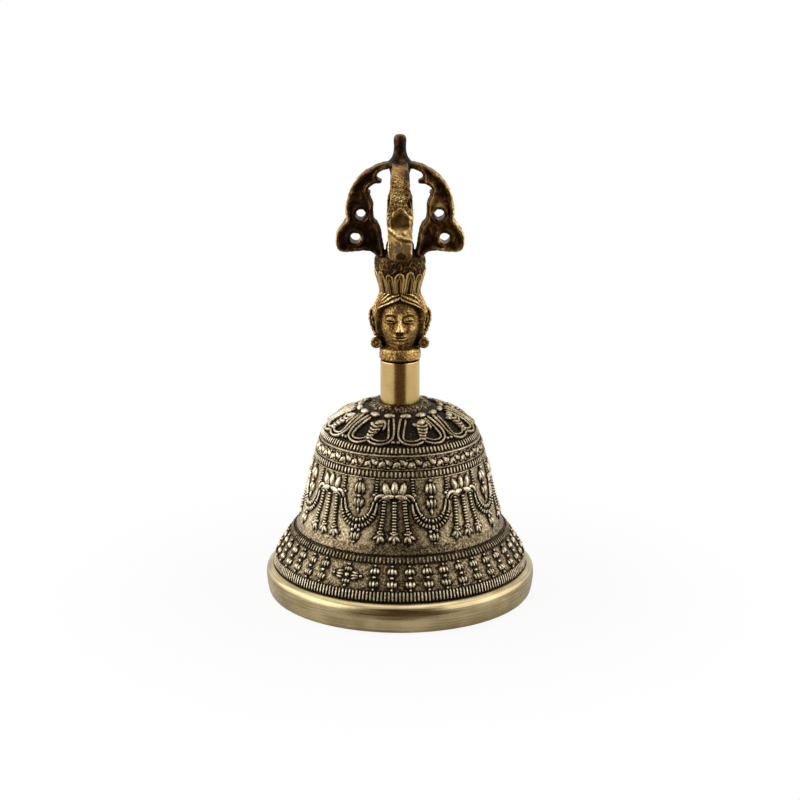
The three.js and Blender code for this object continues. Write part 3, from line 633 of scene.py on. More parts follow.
festoon = dict(
    count=8, uneven=0.42, leaf=(0, 43.4, 2.7, 5.0, 0, 0.95, leafLevels),
    # degrees to the side, height, width, length, lean, rise
    leaves=[(2.7, 42.3, 0.9, 3.4, -12, 0.665, leafLevels), (5.3, 43.0, 2.7, 5.3, -15, 0.95, leafLevels),
            (3.9, 40.7, 1.9, 4.6, 78, 0.88, roundLevels)],
    # path, width, rise, taper
    rails=[([(5.5, 40.9), (8.2, 41.1), (10.8, 40.5), (12.2, 38.7)], 1.3, 0.8, 0.8),
           ([(1.6, 39.1), (4.5, 39.8), (8.0, 39.9), (9.8, 38.5)], 0.65, 0.56, 0.5),
           ([(12.7, 39.4), (13.3, 37.6), (14.4, 35.9), (16.2, 34.5)], 0.72, 0.8, 0.5),
           ([(10.7, 39.0), (11.0, 36.8), (12.0, 34.7)], 0.72, 0.8, 0.5)],
    beads=[(1.7, 40.9, 1.5, 1.3, 0.95, 10), (12.6, 41.1, 1.1, 1.1, 0.8, 8)],
    # the strings of beads: path, gap, size of a bead
    strings=[([(11.2, 46.1), (11.4, 41.7)], 0.8, 0.8), ([(6.2, 39.2), (6.7, 34.5), (7.9, 29.9)], 0.9, 1.02),
             ([(15.8, 34.7), (18.6, 33.25), (22.3, 32.8)], 0.98, 1.0),
             ([(12.1, 35.0), (14.3, 32.9), (17.8, 31.45), (22.2, 30.95)], 0.98, 1.0)],
    middleString=([(0, 39.0), (0, 29.8)], 0.9, 1.122),
    tassels=[(0, 0), (-7.9, -14), (7.9, 14)],                          # degrees, lean
    tasselAt=28.9, tasselRadius=33, tasselRise=0.75, tasselBead=(1.2, 1.0, 0.95, 8),
    tasselLeaves=[(28, 1.8, 1.2), (152, 1.8, 1.2), (228, 3.3, 1.5), (270, 3.6, 1.5), (312, 3.3, 1.5)])
pendant = dict(  # between two heads: height, aim, start, length, width, rise, bead on the tip
    at=22.5, buds=[(40.4, 90, 0.4, 4.4, 3.8, 1.05, 1.0), (40.4, -90, 0.4, 3.6, 3.5, 1.05, 0.0),
                   (29.4, -90, 0.0, 3.3, 3.3, 0.9, 0.8)],
    leaves=[(22.5, 35.7, 0.9, 2.4, 0, 0.75, roundLevels)],
    beads=[(22.5, 40.4, 1.5, 0.95, 0.9, 10), (20.6, 29.6, 1.2, 1.2, 0.85, 8), (24.3, 29.8, 1.1, 1.1, 0.85, 8),
           (22.5, 30.4, 1.2, 1.2, 0.85, 8)])


def festoonUnit():  # one eighth of the belt, its head on angle 0 and its pendant on 22.5
    f = festoon
    shape = Relief()
    drawMotif(shape, dict(leaves=[f["leaf"]]))
    drawMotif(shape, f, (-1, 1))
    drawMotif(shape, pendant)
    for height, *bud in pendant["buds"]:
        budShape(shape, pendant["at"], height, *bud)
    for at, lean in f["tassels"]:  # a tassel of leaves on the end of each string
        for arm, tall, wide in f["tasselLeaves"]:
            c, s = math.cos(math.radians(arm + lean)), math.sin(math.radians(arm + lean))
            reach = 0.42 * tall
            shape.dome(at + math.degrees(reach * c / f["tasselRadius"]), f["tasselAt"] + reach * s,
                       almond(wide, tall, arm + lean - 90), f["tasselRise"], leafLevels)
        shape.bead(at, f["tasselAt"] + 0.1, *f["tasselBead"])
    parts = [shape.object("festoon")]
    for side in (-1, 1):
        for path, gap, size in f["strings"]:
            parts.append(threadBeads("string", [(side * x, z) for x, z in path], 0.05, gap, beadShape, size))
    path, gap, size = f["middleString"]
    parts.append(threadBeads("string", path, 0.08, gap, beadShape, size))
    return joinAll("festoonUnit", parts)


ornament.append(ringed("bell_festoons", festoonUnit(), festoon["count"], bell["patternTurn"] + 0.1,
                       festoon["uneven"], 3.0))
print("festoons made")

vine = dict(
    count=12, uneven=0.6, middle=50.9, leaves=6, step=5,
    stem=[(-15, 50.9), (-11.2, 50.1), (-7.5, 50.9), (-3.8, 51.7), (0, 50.9), (3.8, 50.1), (7.5, 50.9),
          (11.2, 51.7), (15, 50.9)])


def vineUnit():  # leaves and buds of a running vine, 30 degrees long
    shape = Relief()
    z = vine["middle"]
    shape.rail(vine["stem"], 0.5, 0.42, 0.05)
    for k in range(vine["leaves"]):
        at, up = vine["step"] * (k - (vine["leaves"] - 1) / 2), 1 if k % 2 else -1  # every other leaf hangs
        shape.dome(at - 0.3, z + up * 0.35, almond(1.7, 2.3, 40 * up), 0.6)
        shape.dome(at + 1.5, z + up * 0.1, almond(1.3, 2.1, -30 * up), 0.55)
        shape.rail([(at - 1.9, z - up * 0.9), (at - 0.6, z - up * 1.35), (at + 0.8, z - up * 1.2),
                    (at + 1.0, z - up * 0.6)], 0.55, 0.5, 0.4, 0.5)
        shape.bead(at + 2.4, z + up * 1.1, 0.95, 0.85, 0.5, 8)
        shape.bead(at + 3.2, z - up * 1.0, 0.9, 0.9, 0.5, 8)
    return shape.object("vineUnit")


ornament.append(ringed("bell_vine", vineUnit(), vine["count"], 0, vine["uneven"], 5.0))
print("vine made")

petal = dict(
    count=8, uneven=0.4,
    outer=[(17.2, 62.2), (19.4, 61.1), (20.6, 59.4), (20.5, 58.3), (18.9, 57.2), (15.4, 56.4), (10.8, 56.0),
           (5.6, 56.15), (0.0, 56.8)],
    inner=[(11.9, 62.0), (13.7, 61.0), (15.6, 59.4), (16.4, 58.3), (15.8, 57.4), (12.8, 56.95), (8.4, 56.9),
           (4.0, 57.2), (0.0, 58.1)],
    ribs=[(58.1, 2.4), (58.8, 3.2), (59.5, 3.7), (60.2, 3.9)],  # height and width of the leaf's crescents
    leafFoot=57.9, leafLean=1.5,  # height, degrees for each mm
    gapBeads=[(20.5, 56.75, 1.5, 1.2, 1.0, 10), (24.5, 56.75, 1.5, 1.2, 1.0, 10)])
curl = dict(  # the tip of the leaf, and the bead at the foot of the petal
    leaves=[(4.4, 61.0, 2.5, 4.4, -62, 1.4, roundLevels), (-3.2, 60.6, 1.3, 2.6, 50, 1.1, roundLevels)],
    rails=[([(7.0, 61.3), (10.0, 61.0), (11.2, 60.2), (10.2, 59.4)], 1.1, 1.25, 0.8)],
    beads=[(0, 57.35, 2.1, 1.4, 1.1, 10)])
pearls = dict(count=16, height=62.45, size=(3.9, 2.4), rise=1.2, uneven=0.35)


def petalUnit():  # one petal of the crown, its middle on angle 0, with a curled leaf inside
    shape = Relief()
    drawMotif(shape, dict(rails=[(petal["outer"], 0.9, 1.15, 0.4), (petal["inner"], 0.8, 1.0, 0.4)]), (-1, 1))
    for z, wide in petal["ribs"]:  # the leaf is a stack of crescents that leans over
        lean = (z - petal["leafFoot"]) * petal["leafLean"]
        half = math.degrees(wide / 2 / wallRadius(runAt(z)))
        shape.rail([(-half + lean, z + 0.5), (-0.5 * half + lean, z - 0.1), (0.3 * half + lean, z - 0.2),
                    (half + lean, z + 0.3)], 1.15, 1.35, 0.7, 0.45)
    drawMotif(shape, curl)
    drawMotif(shape, dict(beads=petal["gapBeads"]))
    return shape.object("petalUnit")


def pearl():
    shape = Relief()
    shape.dome(0, pearls["height"], ellipse(*pearls["size"], 16), pearls["rise"])
    return shape.object("pearl")


ornament.append(ringed("bell_petals", petalUnit(), petal["count"], bell["patternTurn"] - 22.5,
                       petal["uneven"], 6.0))
ornament.append(ringed("bell_pearls", pearl(), pearls["count"], bell["patternTurn"] + 11.25,
                       pearls["uneven"], 7.0))
print("petals made")


# wear and painted light of the bell: 0 is the dark patina, 1 rubbed bright, with a painted highlight on the
# left and painted shade in front

tone = dict(
    relief=dict(bell_teeth_1=0.92, bell_teeth_2=0.92, bell_teeth_3=0.95, bell_teeth_4=0.95, bell_fence=0.9,
                bell_festoons=0.84, bell_vine=0.8, bell_petals=0.58, bell_pearls=0.6),
    ground=0.44, openGround=0.10, ridge=0.2, groove=0.09, crown=0.02, skirt=0.1, vine=0.15, seat=0.04,
    lipGap=0.06, underTeeth=0.12, satin=(0.31, 0.35), collar=0.27, foot=0.03, reliefLitLeft=0.1,
    groundLitLeft=0.03, shadedFront=-0.06, farLeftHighlight=0.36, reliefFarLeftHighlight=0.3, skirtFarLeftHighlight=0.14)
# where the painted side light falls: painted highlight on the left and far left, painted shade in front
sides = dict(left=(-62, 34), shadedFront=(0, 27), litFarLeft=(-84, 26))  # degrees from the face, reach
places = dict(  # heights in mm
    lipGap=(9.42, 9.75), underTeeth=(22.3, 22.95), satin=(22.95, 25.6), crown=55.9, seat=62.3,
    collar=63.2, collarRadius=10.2, lipTop=9.4, insideTop=60.2, skirtTop=(20, 23), vineFoot=(45, 46.5),
    vineTop=(52.5, 53), highlightFoot=(22.6, 24), highlightTop=56, skirtHighlightTop=30,
    fromRelief=(0.15, 0.62), openFrom=(0.6, 2.2), proud=(0.1, 0.35), sunk=-0.12,  # distances in mm
    inside=([0, 9, 18, 31, 52, 56, 59.9, 66], [42.2, 41.3, 36.6, 30.5, 25.2, 22, 9, 3.6]))


def heightAbove(mesh):  # how far each vertex stands above the ground of the wall, mm
    co = pointsOf(mesh)
    r, z = np.hypot(co[:, 0], co[:, 1]), co[:, 2]
    ground = np.interp(z, wall[:, 1], wall[:, 0])
    tilt = np.interp(z, wall[:, 1], np.gradient(wall[:, 0], wall[:, 1]))
    return (r - ground) / np.sqrt(1 + tilt ** 2), co


def degreesRound(co):  # 0 at the face on the handle, less than 0 to its left in the picture
    return np.degrees(np.arctan2(co[:, 0], -co[:, 1]))


def towards(side, co):
    at, reach = sides[side]
    return hump(degreesRound(co) - at, reach)


def paintedSideLight(co, left):  # painted highlight on the left, painted shade in front
    return left * towards("left", co) + tone["shadedFront"] * towards("shadedFront", co)


def farLeftHighlightMask(co):  # painted highlight on the far left, which leaves it without dark lines
    return towards("litFarLeft", co) * smoothStep(*places["highlightFoot"], co[:, 2])


reliefPoints = []
for obj in ornament:
    above, co = heightAbove(obj.data)
    # painted highlight on the left and far left and painted shade in front, on the relief too
    setWearAndPaintedLight(obj.data, tone["foot"] + tone["reliefFarLeftHighlight"] * farLeftHighlightMask(co)
            + (tone["relief"][obj.name] + paintedSideLight(co, tone["reliefLitLeft"])) * smoothStep(0.08, 0.75, above))
    reliefPoints.append(co[::2])
    dress(obj, None, "bell", "bell_brass")

reliefPoints = np.vstack(reliefPoints)
reliefTree = kdtree.KDTree(len(reliefPoints))
for i, point in enumerate(reliefPoints):
    reliefTree.insert(point, i)
reliefTree.balance()

cleaned(shell)
co = pointsOf(shell.data)
onCollar = smoothStep(62.9, 63.5, co[:, 2]) * smoothStep(6.9, 7.8, np.hypot(co[:, 0], co[:, 1]))
lumps = castNoise(co, 1.6, 5)
co[:, :2] *= (1 + bell["collarUneven"][0] * onCollar * lumps)[:, None]
co[:, 2] += bell["collarUneven"][1] * onCollar * castNoise(co, 1.2, 6)
movePoints(shell.data, co)

# the wall is dark close to raised shapes and in its grooves
above, co = heightAbove(shell.data)
radius, height = np.hypot(co[:, 0], co[:, 1]), co[:, 2]
near = np.array([reliefTree.find(point)[2] if point[2] > 9.3 else 3.0 for point in co])


def within(band):
    return (height > places[band][0]) & (height < places[band][1])


level = tone["ground"] * smoothStep(*places["fromRelief"], near)
level += tone["openGround"] * smoothStep(*places["openFrom"], near)
level += tone["ridge"] * smoothStep(*places["proud"], above)
level = np.where(above < places["sunk"], tone["groove"], level)
level = np.where(height > places["crown"], np.minimum(level, tone["crown"]), level)
level = np.where(within("satin"), np.clip(level, *tone["satin"]), level)
level = np.where(within("underTeeth"), np.maximum(level, tone["underTeeth"]), level)
level -= tone["skirt"] * (1 - smoothStep(*places["skirtTop"], height)) * (level > 0.2)
onVine = smoothStep(*places["vineFoot"], height) * (1 - smoothStep(*places["vineTop"], height))
level += tone["vine"] * onVine * (level > 0.05)
# painted highlight on the left and far left, painted shade in front
level += paintedSideLight(co, tone["groundLitLeft"]) * (level > 0.1)
level = np.maximum(level, tone["farLeftHighlight"] * farLeftHighlightMask(co) * (height < places["highlightTop"]))
level += tone["skirtFarLeftHighlight"] * farLeftHighlightMask(co) * (height < places["skirtHighlightTop"])
level = np.where(height > places["seat"], tone["seat"], level)
level = np.where((height > places["collar"]) & (radius < places["collarRadius"]),
                 tone["collar"] * (1 + castNoise(co, 1.0, 9)), level)
level = np.where(within("lipGap"), tone["lipGap"], level)
setWearAndPaintedLight(shell.data, level)
for material in (bellBrass, lipBrass, insideBrass):
    shell.data.materials.append(material)
innerAt = np.interp(height, *places["inside"])
for polygon in shell.data.polygons:
    corners = polygon.vertices
    low = height[corners[0]]
    if low < places["insideTop"] and all(radius[v] < innerAt[v] for v in corners):
        polygon.material_index = 2
    elif low < places["lipTop"]:
        polygon.material_index = 1
dress(shell, None, "bell", "bell_brass", "bell_shell")
bpy.data.objects.remove(beadShape)
print("bell dressed", sum(len(o.data.polygons) for o in ornament), "faces of ornament")


# grip tube

grip = dict(radius=6.5, bore=5.4, foot=64.3, top=78.8, edge=0.2)


def gripTube():
    bore, r, foot, top, e = (grip[key] for key in ("bore", "radius", "foot", "top", "edge"))
    return cleaned(turned("grip_tube", [
        (bore, foot), (r - e, foot), (r - 0.3 * e, foot + 0.1 * e), (r, foot + e),
        *[(r, z) for z in np.linspace(foot + 2 * e, top - 2 * e, 8)],
        (r, top - e), (r - 0.3 * e, top - 0.1 * e), (r - e, top), (bore, top)], 144), angle=40)


dress(gripTube(), gripBrass, "bell", "grip_brass", "grip_sleeve")
print("grip tube made")


# handle: neck, head, ears, lotus cup

headShape = dict(
    chin=84.2, hairline=99.8, foot=82.0, top=101.9, halfWidth=7.0, halfDepth=7.0, columns=360, rows=180,
    uneven=(0.008, 0.003),
    hairEdge=[(0, 100.3), (5, 99.7), (12, 99.2), (22, 98.7), (36, 97.9), (48, 96.9), (57, 95.8), (63, 93.4),
              (67, 90.0), (70, 87.0), (76, 84.6), (86, 83.6), (180, 83.2)],  # degrees from the face, height
    # height, half width, half depth
    hair=[(82.6, 6.3, 6.3), (83.4, 6.8, 6.8), (85, 7.4, 7.4), (88, 7.8, 8.0), (91, 8.1, 8.4),
          (93.5, 8.5, 8.6), (95.5, 8.8, 8.7), (97, 8.4, 8.5), (98.3, 7.8, 8.1), (99.6, 7.2, 7.6),
          (100.8, 6.75, 7.0), (101.9, 6.45, 6.5)])


def headSurface():
    h = headShape
    third = (h["hairline"] - h["chin"]) / 3
    nose, brow = h["chin"] + third, h["chin"] + 2 * third
    eye, mouth = brow - 0.27 * third, nose - 0.36 * third
    a, z = np.meshgrid(np.linspace(-math.pi, math.pi, h["columns"], endpoint=False),
                       np.linspace(h["foot"], h["top"], h["rows"]))
    degree = np.degrees(np.abs(a))
    middle = (h["chin"] + h["hairline"]) / 2 + 0.8
    share = (z - middle) / np.where(z > middle, 13.0, middle - h["chin"] + 2.6)
    egg = np.sqrt(np.clip(1 - np.abs(share) ** 2.3, 0.02, 1))
    egg = np.maximum(egg, np.where(z > middle, 0.84, 0.74))
    jaw = 1 - 0.13 * smoothStep(middle - 1, h["chin"], z) * hump(np.abs(a), 1.35)
    wide, deep = h["halfWidth"] * egg * jaw, h["halfDepth"] * egg
    radius = wide * deep / np.hypot(deep * np.sin(a), wide * np.cos(a))
    u = a * h["halfWidth"]                                                     # mm across the face
    w = np.abs(u)
    up = smoothStep(nose, brow, z)
    face = (1.9 - 1.3 * up) * hump(u, 0.95 - 0.35 * up) * smoothStep(nose - 0.55, nose + 0.4, z)
    face *= 1 - smoothStep(brow - 0.3, brow + 1.3, z)                          # bridge and tip of the nose
    face += 0.85 * hump(w - 1.05, 0.5) * hump(z - nose - 0.5, 0.62)            # wings of the nose
    face -= 0.4 * hump(w - 0.55, 0.3) * hump(z - nose + 0.12, 0.28)            # nostrils
    arch = brow + 0.1 + 0.7 * hump(w - 3.0, 1.8)
    face += 0.42 * hump(z - arch, 0.45) * smoothStep(0.7, 1.6, w) * smoothStep(6.0, 4.8, w)    # brows
    face -= 0.8 * hump(w - 3.0, 1.9) * hump(z - eye - 0.2, 1.25)               # eye sockets
    lid = eye - 0.12 + 0.42 * (1 - ((w - 3.1) / 2.0) ** 2)
    under = eye - 0.5 * (1 - ((w - 3.1) / 2.0) ** 2)
    within = smoothStep(2.2, 1.7, np.abs(w - 3.1))
    ball = 1 - ((w - 3.1) / 2.1) ** 2 - ((z - eye - 0.1) / 1.25) ** 2
    face += 0.95 * np.sqrt(np.clip(ball, 0, 1))                                # eyeballs
    face += 0.22 * hump(z - lid, 0.2) * within                                 # lids, half closed
    face += 0.26 * hump(z - under + 0.1, 0.2) * within
    face -= 0.34 * hump(z - (lid + under) / 2 + 0.04, 0.17) * within
    lips = smoothStep(2.5, 1.6, w)
    cut = mouth + 0.12 * (w / 1.6) ** 2
    face += 0.75 * hump(w, 2.7) * hump(z - mouth, 1.5)
    face += 0.5 * lips * hump(z - cut - 0.48 - 0.12 * hump(w - 0.5, 0.4), 0.4)
    face += 0.62 * lips * hump(z - cut + 0.56, 0.5)
    face -= 0.4 * smoothStep(2.5, 2.0, w) * hump(z - cut, 0.2)
    face -= 0.25 * hump(u, 0.4) * hump(z - nose + 0.75, 0.5)                   # groove over the lip
    face += 0.75 * hump(u, 1.7) * hump(z - h["chin"] - 1.1, 1.1)               # chin
    face -= 0.35 * hump(u, 1.8) * hump(z - mouth + 1.45, 0.45)
    face += 0.6 * hump(w - 3.9, 1.9) * hump(z - nose - 0.7, 2.0)               # cheeks
    face = np.where(np.cos(a) > 0, face, 0)
    skin = radius + face
    chin = smoothStep(h["chin"] + 0.3, h["chin"] - 0.9, z)                     # the neck below it is round
    skin = skin * (1 - chin) + chin * 5.9
    edge = np.interp(degree, *np.array(h["hairEdge"]).T)
    inHair = smoothStep(edge - 0.2, edge + 0.45, z)
    hairWide, hairDeep = (np.interp(z, *np.array(h["hair"])[:, [0, k]].T) for k in (1, 2))
    behind = smoothStep(50, 64, degree)
    flow = (z - edge + 0.25 * np.sin(a * 5.0 + z)) * (1 - behind)
    flow += (degree * 0.15 + 0.5 * np.sin(z * 0.75)) * behind
    strands = 0.6 * np.abs(np.sin(flow * 2.3)) ** 0.7 - 0.33
    parting = -0.55 * hump(u, 0.4) * smoothStep(edge - 0.4, edge + 0.6, z)
    roll = 0.35 * hump(z - edge - 0.55, 0.55) * (degree < 80)
    hair = hairWide * hairDeep / np.hypot(hairDeep * np.sin(a), hairWide * np.cos(a))
    hair += strands + parting + roll
    radius = skin * (1 - inHair) + hair * inHair
    verts = np.stack([radius * np.sin(a), -radius * np.cos(a), z], axis=2).reshape(-1, 3)
    worn = 0.52 + (1 - inHair) * 0.34 * np.clip(face, -0.9, 1.1)
    worn += inHair * (strands * 1.1 + roll * 0.4 + 0.04)
    # painted shade, partly patina, along the hairline and at the sides of the face; a painted shadow under
    # the chin
    worn -= 0.36 * hump(z - edge + 0.25, 0.35) * (degree < 90)
    worn -= 0.3 * smoothStep(h["chin"] + 1.0, h["chin"] - 0.6, z) * (degree < 80)
    worn -= 0.22 * smoothStep(62, 70, degree) * (1 - smoothStep(92, 96.5, z)) * (degree < 110)
    return verts, gridFaces(h["rows"], h["columns"], False), worn.reshape(-1)


ear = dict(
    helix=[(7.7, -2.0, 94.6), (8.2, -1.5, 95.8), (9.1, -0.7, 96.0), (9.65, -0.2, 94.9), (9.75, 0.0, 93.0),
           (9.5, -0.1, 91.2), (8.9, -0.4, 89.7), (8.3, -0.9, 88.5), (7.9, -1.4, 87.2)],
    fold=[(7.9, -2.0, 92.6), (8.5, -1.3, 93.9), (8.9, -0.8, 92.9), (8.7, -0.9, 91.5), (8.2, -1.2, 90.5)],
    rim=0.5, foldSize=0.72, bowl=(8.35, 0.15, 91.9), bowlHalf=(1.4, 1.15, 4.1), discAt=(7.75, -1.6, 84.8),
    disc=[(0.08, 1.1), (0.4, 1.05), (0.6, 0.7), (0.85, 0.6), (1.05, 0.8), (1.3, 1.0), (1.75, 0.8),
          (1.85, 0.3), (1.85, -0.6), (1.45, -1.0), (0.08, -1.0)],
    wear=(0.16, 0.66, 0.5, 0.6))  # wear of bowl, helix, fold, disc


def earShape(side):  # bowl, raised rim and fold, disc earring, each with its own wear
    bm = bmesh.new()
    bmesh.ops.create_uvsphere(bm, u_segments=28, v_segments=24, radius=mm)
    middle = Vector(ear["bowl"]) * mm
    middle.x *= side
    for v in bm.verts:
        v.co = middle + Vector([v.co[k] * ear["bowlHalf"][k] for k in range(3)])
    mesh = bpy.data.meshes.new("ear")
    bm.to_mesh(mesh)
    bm.free()
    bowl = bpy.data.objects.new("ear", mesh)
    bpy.context.collection.objects.link(bowl)
    helix, fold = (
        swept(key, smoothCurve([(side * x, y, z) for x, y, z in ear[key]], 34), ear["rim"] * size, 12)
        for key, size in (("helix", 1.0), ("fold", ear["foldSize"])))
    dx, dy, dz = ear["discAt"]
    disc = turned("disc", ear["disc"], 32, False)
    for v in disc.data.vertices:
        x, y, z = (c / mm for c in v.co)
        v.co = Vector((side * dx + x, dy - z, dz + y)) * mm
    parts = [bowl, helix, fold, disc]
    for part, wear in zip(parts, ear["wear"]):
        setWearAndPaintedLight(part.data, np.full(len(part.data.vertices), wear))
    return parts


neckShape = dict(
    collar=[(5.3, 78.8), (5.7, 78.95), (6.35, 79.25), (6.75, 79.75), (6.8, 80.6), (6.75, 81.6), (6.7, 82.5),
            (6.35, 83.1), (5.2, 83.5)],
    register=[(2.3, 77.3), (4.9, 77.3), (5.1, 77.5), (5.1, 79.2), (2.3, 79.2)])  # inside the grip tube

verts, faces, worn = headSurface()
head = makeObject("head", verts, faces)
setWearAndPaintedLight(head.data, worn)
neck = turned("neck", smoothCurve(neckShape["collar"], 44), 200, closed=False)
register = turned("register", neckShape["register"], 64)
for part in (neck, register):
    setWearAndPaintedLight(part.data, np.full(len(part.data.vertices), 0.6))
casting = cleaned(joinAll("handle_casting", [head, neck, register] + earShape(-1) + earShape(1)))
co, level = pointsOf(casting.data), wearAndPaintedLightOf(casting.data)
onEar = smoothStep(7.6, 8.2, np.abs(co[:, 0])) * smoothStep(-3, -1.5, co[:, 1]) * (co[:, 1] < 1.2)
level -= 0.45 * (1 - smoothStep(79.2, 79.6, co[:, 2])) - 0.3 * onEar * castNoise(co, 1.1, 15)
level += 0.14 * castNoise(co, 0.7, 16)
coarse, fine = headShape["uneven"]
uneven = (coarse * castNoise(co, 1.1, 11) + fine * castNoise(co, 0.6, 12)) * (co[:, 2] > 79.3)
co[:, :2] *= 1 + uneven[:, None]
movePoints(casting.data, co)
setWearAndPaintedLight(casting.data, level)
dress(casting, handleBronze, "bell", "handle_bronze", "handle_head")
print("head made")

cup = dict(
    profile=[(6.15, 101.2), (6.35, 101.7), (6.6, 102.8), (7.0, 104.4), (7.5, 106.0), (7.9, 107.4),
             (8.1, 108.6), (8.2, 110.2), (8.2, 111.8), (8.05, 113.0), (7.75, 113.7), (7.3, 113.85),
             (6.75, 113.7), (6.7, 112.4)],
    rows=150, outside=118, columns=14 * 28, petals=14, arch=108.9, shoulder=105.6, line=0.24, unevenTops=0.6)


def cupSurface():
    rows, columns, petals = cup["rows"], cup["columns"], cup["petals"]
    line = smoothCurve(cup["profile"], rows)
    a = np.repeat(np.linspace(-math.pi, math.pi, columns, endpoint=False)[None], rows, axis=0)
    r, z = (np.repeat(line[:, k:k + 1], columns, axis=1) for k in (0, 1))
    turn = a * petals / fullTurn + 0.07 * np.sin(a * 3 + 1) + 0.06 * np.sin(a * 5 + z * 0.5)
    across = np.abs(turn - np.round(turn)) * 2                                 # 0 in the middle of a petal

    def arch(top, shoulder, half):
        rest = 1 - np.clip((z - shoulder) / (top - shoulder), 0, 1) ** 2
        return across - half * np.sqrt(np.clip(rest, 0, 1))
    tall = cup["arch"] + cup["unevenTops"] * np.sin(np.round(turn) % petals * 2.3)
    low = smoothStep(101.3, 101.9, z) * (1 - smoothStep(tall, tall + 0.35, z))
    rib = 0.6 * hump(arch(tall, cup["shoulder"], 0.82), cup["line"])
    rib += 0.42 * hump(arch(tall - 1.6, cup["shoulder"] - 0.6, 0.36), cup["line"] * 0.8)
    band = smoothStep(tall, tall + 0.7, z) * (1 - smoothStep(113.3, 113.8, z))  # veined, above the petals
    points = np.stack([r * np.sin(a), -r * np.cos(a), z * 0.8], axis=2).reshape(-1, 3)
    veins = (1 - np.abs(castNoise(points, 1.5, 13)).reshape(a.shape)) ** 2
    outside = np.arange(rows)[:, None] < cup["outside"]
    r = r + np.where(outside, low * (rib - 0.32) + band * (0.36 * veins - 0.14), 0)
    worn = np.where(outside, 0.34 + low * (rib * 1.35 - 0.26) + band * (0.5 * veins - 0.22), 0.2)
    return (np.stack([r * np.sin(a), -r * np.cos(a), z], axis=2).reshape(-1, 3),
            gridFaces(rows, columns, False), worn.reshape(-1))


verts, faces, worn = cupSurface()
lotus = makeObject("lotus_cup", verts, faces)
setWearAndPaintedLight(lotus.data, worn)
cleaned(lotus)
dress(lotus, handleBronze, "bell", "handle_bronze")
print("cup made")


# half-vajra

vajra = dict(
    outer=[(3.0, 143.9), (5.6, 143.5), (8.65, 142.3), (12.3, 139.8), (14.4, 137.3), (15.9, 134.7),
           (16.75, 132.1), (17.2, 129.3), (17.15, 127.0), (16.95, 125.5), (17.9, 124.4), (19.2, 122.9),
           (20.5, 120.9), (20.8, 118.8), (20.4, 116.6), (19.3, 115.2), (17.6, 114.8), (14.4, 115.2),
           (11.4, 115.6), (9.2, 115.2), (8.0, 114.2), (7.0, 113.2)],
    inner=[(4.6, 113.2), (5.2, 115.4), (5.75, 118.5), (6.3, 121.8), (7.3, 124.2), (8.45, 125.6), (8.7, 128.4),
           (8.7, 130.6), (9.6, 132.6), (9.95, 133.6), (9.3, 134.1), (10.4, 134.9), (9.4, 136.4), (7.6, 137.2),
           (6.0, 137.3), (5.95, 137.95), (7.2, 138.6), (7.5, 139.4), (6.9, 140.6), (5.3, 141.5),
           (3.4, 141.95)],
    holes=[(12.5, 127.3, 1.7), (14.4, 119.6, 1.65)],
    halfWidth=3.85, bossHalfWidth=4.15, upperHalfWidth=3.1, sunk=0.85, voxel=0.26, round=0.1, uneven=0.75,
    spike=[(0.06, 110.4), (2.5, 110.4), (2.6, 112.2), (6.1, 112.3), (6.3, 113.6), (5.9, 114.6), (4.6, 115.6),
           (4.5, 117.0), (3.4, 119.5), (2.6, 122.0), (2.3, 126.0), (2.25, 130.0), (2.5, 135.0), (2.9, 139.0),
           (3.6, 141.6), (4.6, 143.0), (3.9, 143.9), (2.75, 145.2), (2.15, 146.8), (1.95, 148.6),
           (2.05, 150.2), (2.0, 151.3), (1.5, 152.3), (0.7, 152.6), (0.06, 152.62)])
bow = dict(  # heights; for spot and notch the place across, the height and the reach of both
    chevron=131.5, boss=126.8, bossWidth=3.2, bossHeight=3.25, crease=122.9, groove=122.1,
    spot=(0.2, 116.8, 2.1, 1.5), notch=(3.3, 132.9, 1.2, 1.7))


def prongOutline():
    return np.vstack([smoothCurve(vajra["outer"], 110), smoothCurve(vajra["inner"], 90)])


def prongShape():  # a plate with its holes, thickened and remeshed, so that its edges are round
    bm = bmesh.new()
    rings = [prongOutline()]
    a = anglesRound(48)
    for x, y, r in vajra["holes"]:
        r += vajra["round"]
        rings.append(np.stack([x + r * np.cos(a), y + r * np.sin(a)], axis=1))
    edges = []
    for ring in rings:
        vs = [bm.verts.new((x, y, -vajra["halfWidth"])) for x, y in ring]
        edges += [bm.edges.new((p, q)) for p, q in zip(vs, vs[1:] + vs[:1])]
    plate = [g for g in bmesh.ops.triangle_fill(bm, edges=edges, use_beauty=True)["geom"]
             if isinstance(g, bmesh.types.BMFace)]
    raised = bmesh.ops.extrude_face_region(bm, geom=plate)["geom"]
    bmesh.ops.translate(bm, verts=[g for g in raised if isinstance(g, bmesh.types.BMVert)],
                        vec=(0, 0, 2 * vajra["halfWidth"]))
    bmesh.ops.recalc_face_normals(bm, faces=bm.faces)
    mesh = bpy.data.meshes.new("prong")
    bm.to_mesh(mesh)
    bm.free()
    made = bpy.data.objects.new("prong", mesh)
    bpy.context.collection.objects.link(made)
    remesh = made.modifiers.new("remesh", "REMESH")
    remesh.mode = "VOXEL"
    remesh.voxel_size = vajra["voxel"]
    smooth = made.modifiers.new("smooth", "SMOOTH")
    smooth.factor, smooth.iterations = 0.5, 5
    graph = bpy.context.evaluated_depsgraph_get()
    done = bpy.data.meshes.new_from_object(made.evaluated_get(graph), depsgraph=graph)
    bpy.data.objects.remove(made)
    return done


def outlineDistance(points, ring):  # nearest distance in the plane of the prong
    best = np.full(len(points), 99.0)
    for a, b in zip(ring, np.roll(ring, -1, axis=0)):
        d = b - a
        t = np.clip(((points - a) @ d) / max(d @ d, 1e-9), 0, 1)
        best = np.minimum(best, np.linalg.norm(points - a - t[:, None] * d, axis=1))
    return best


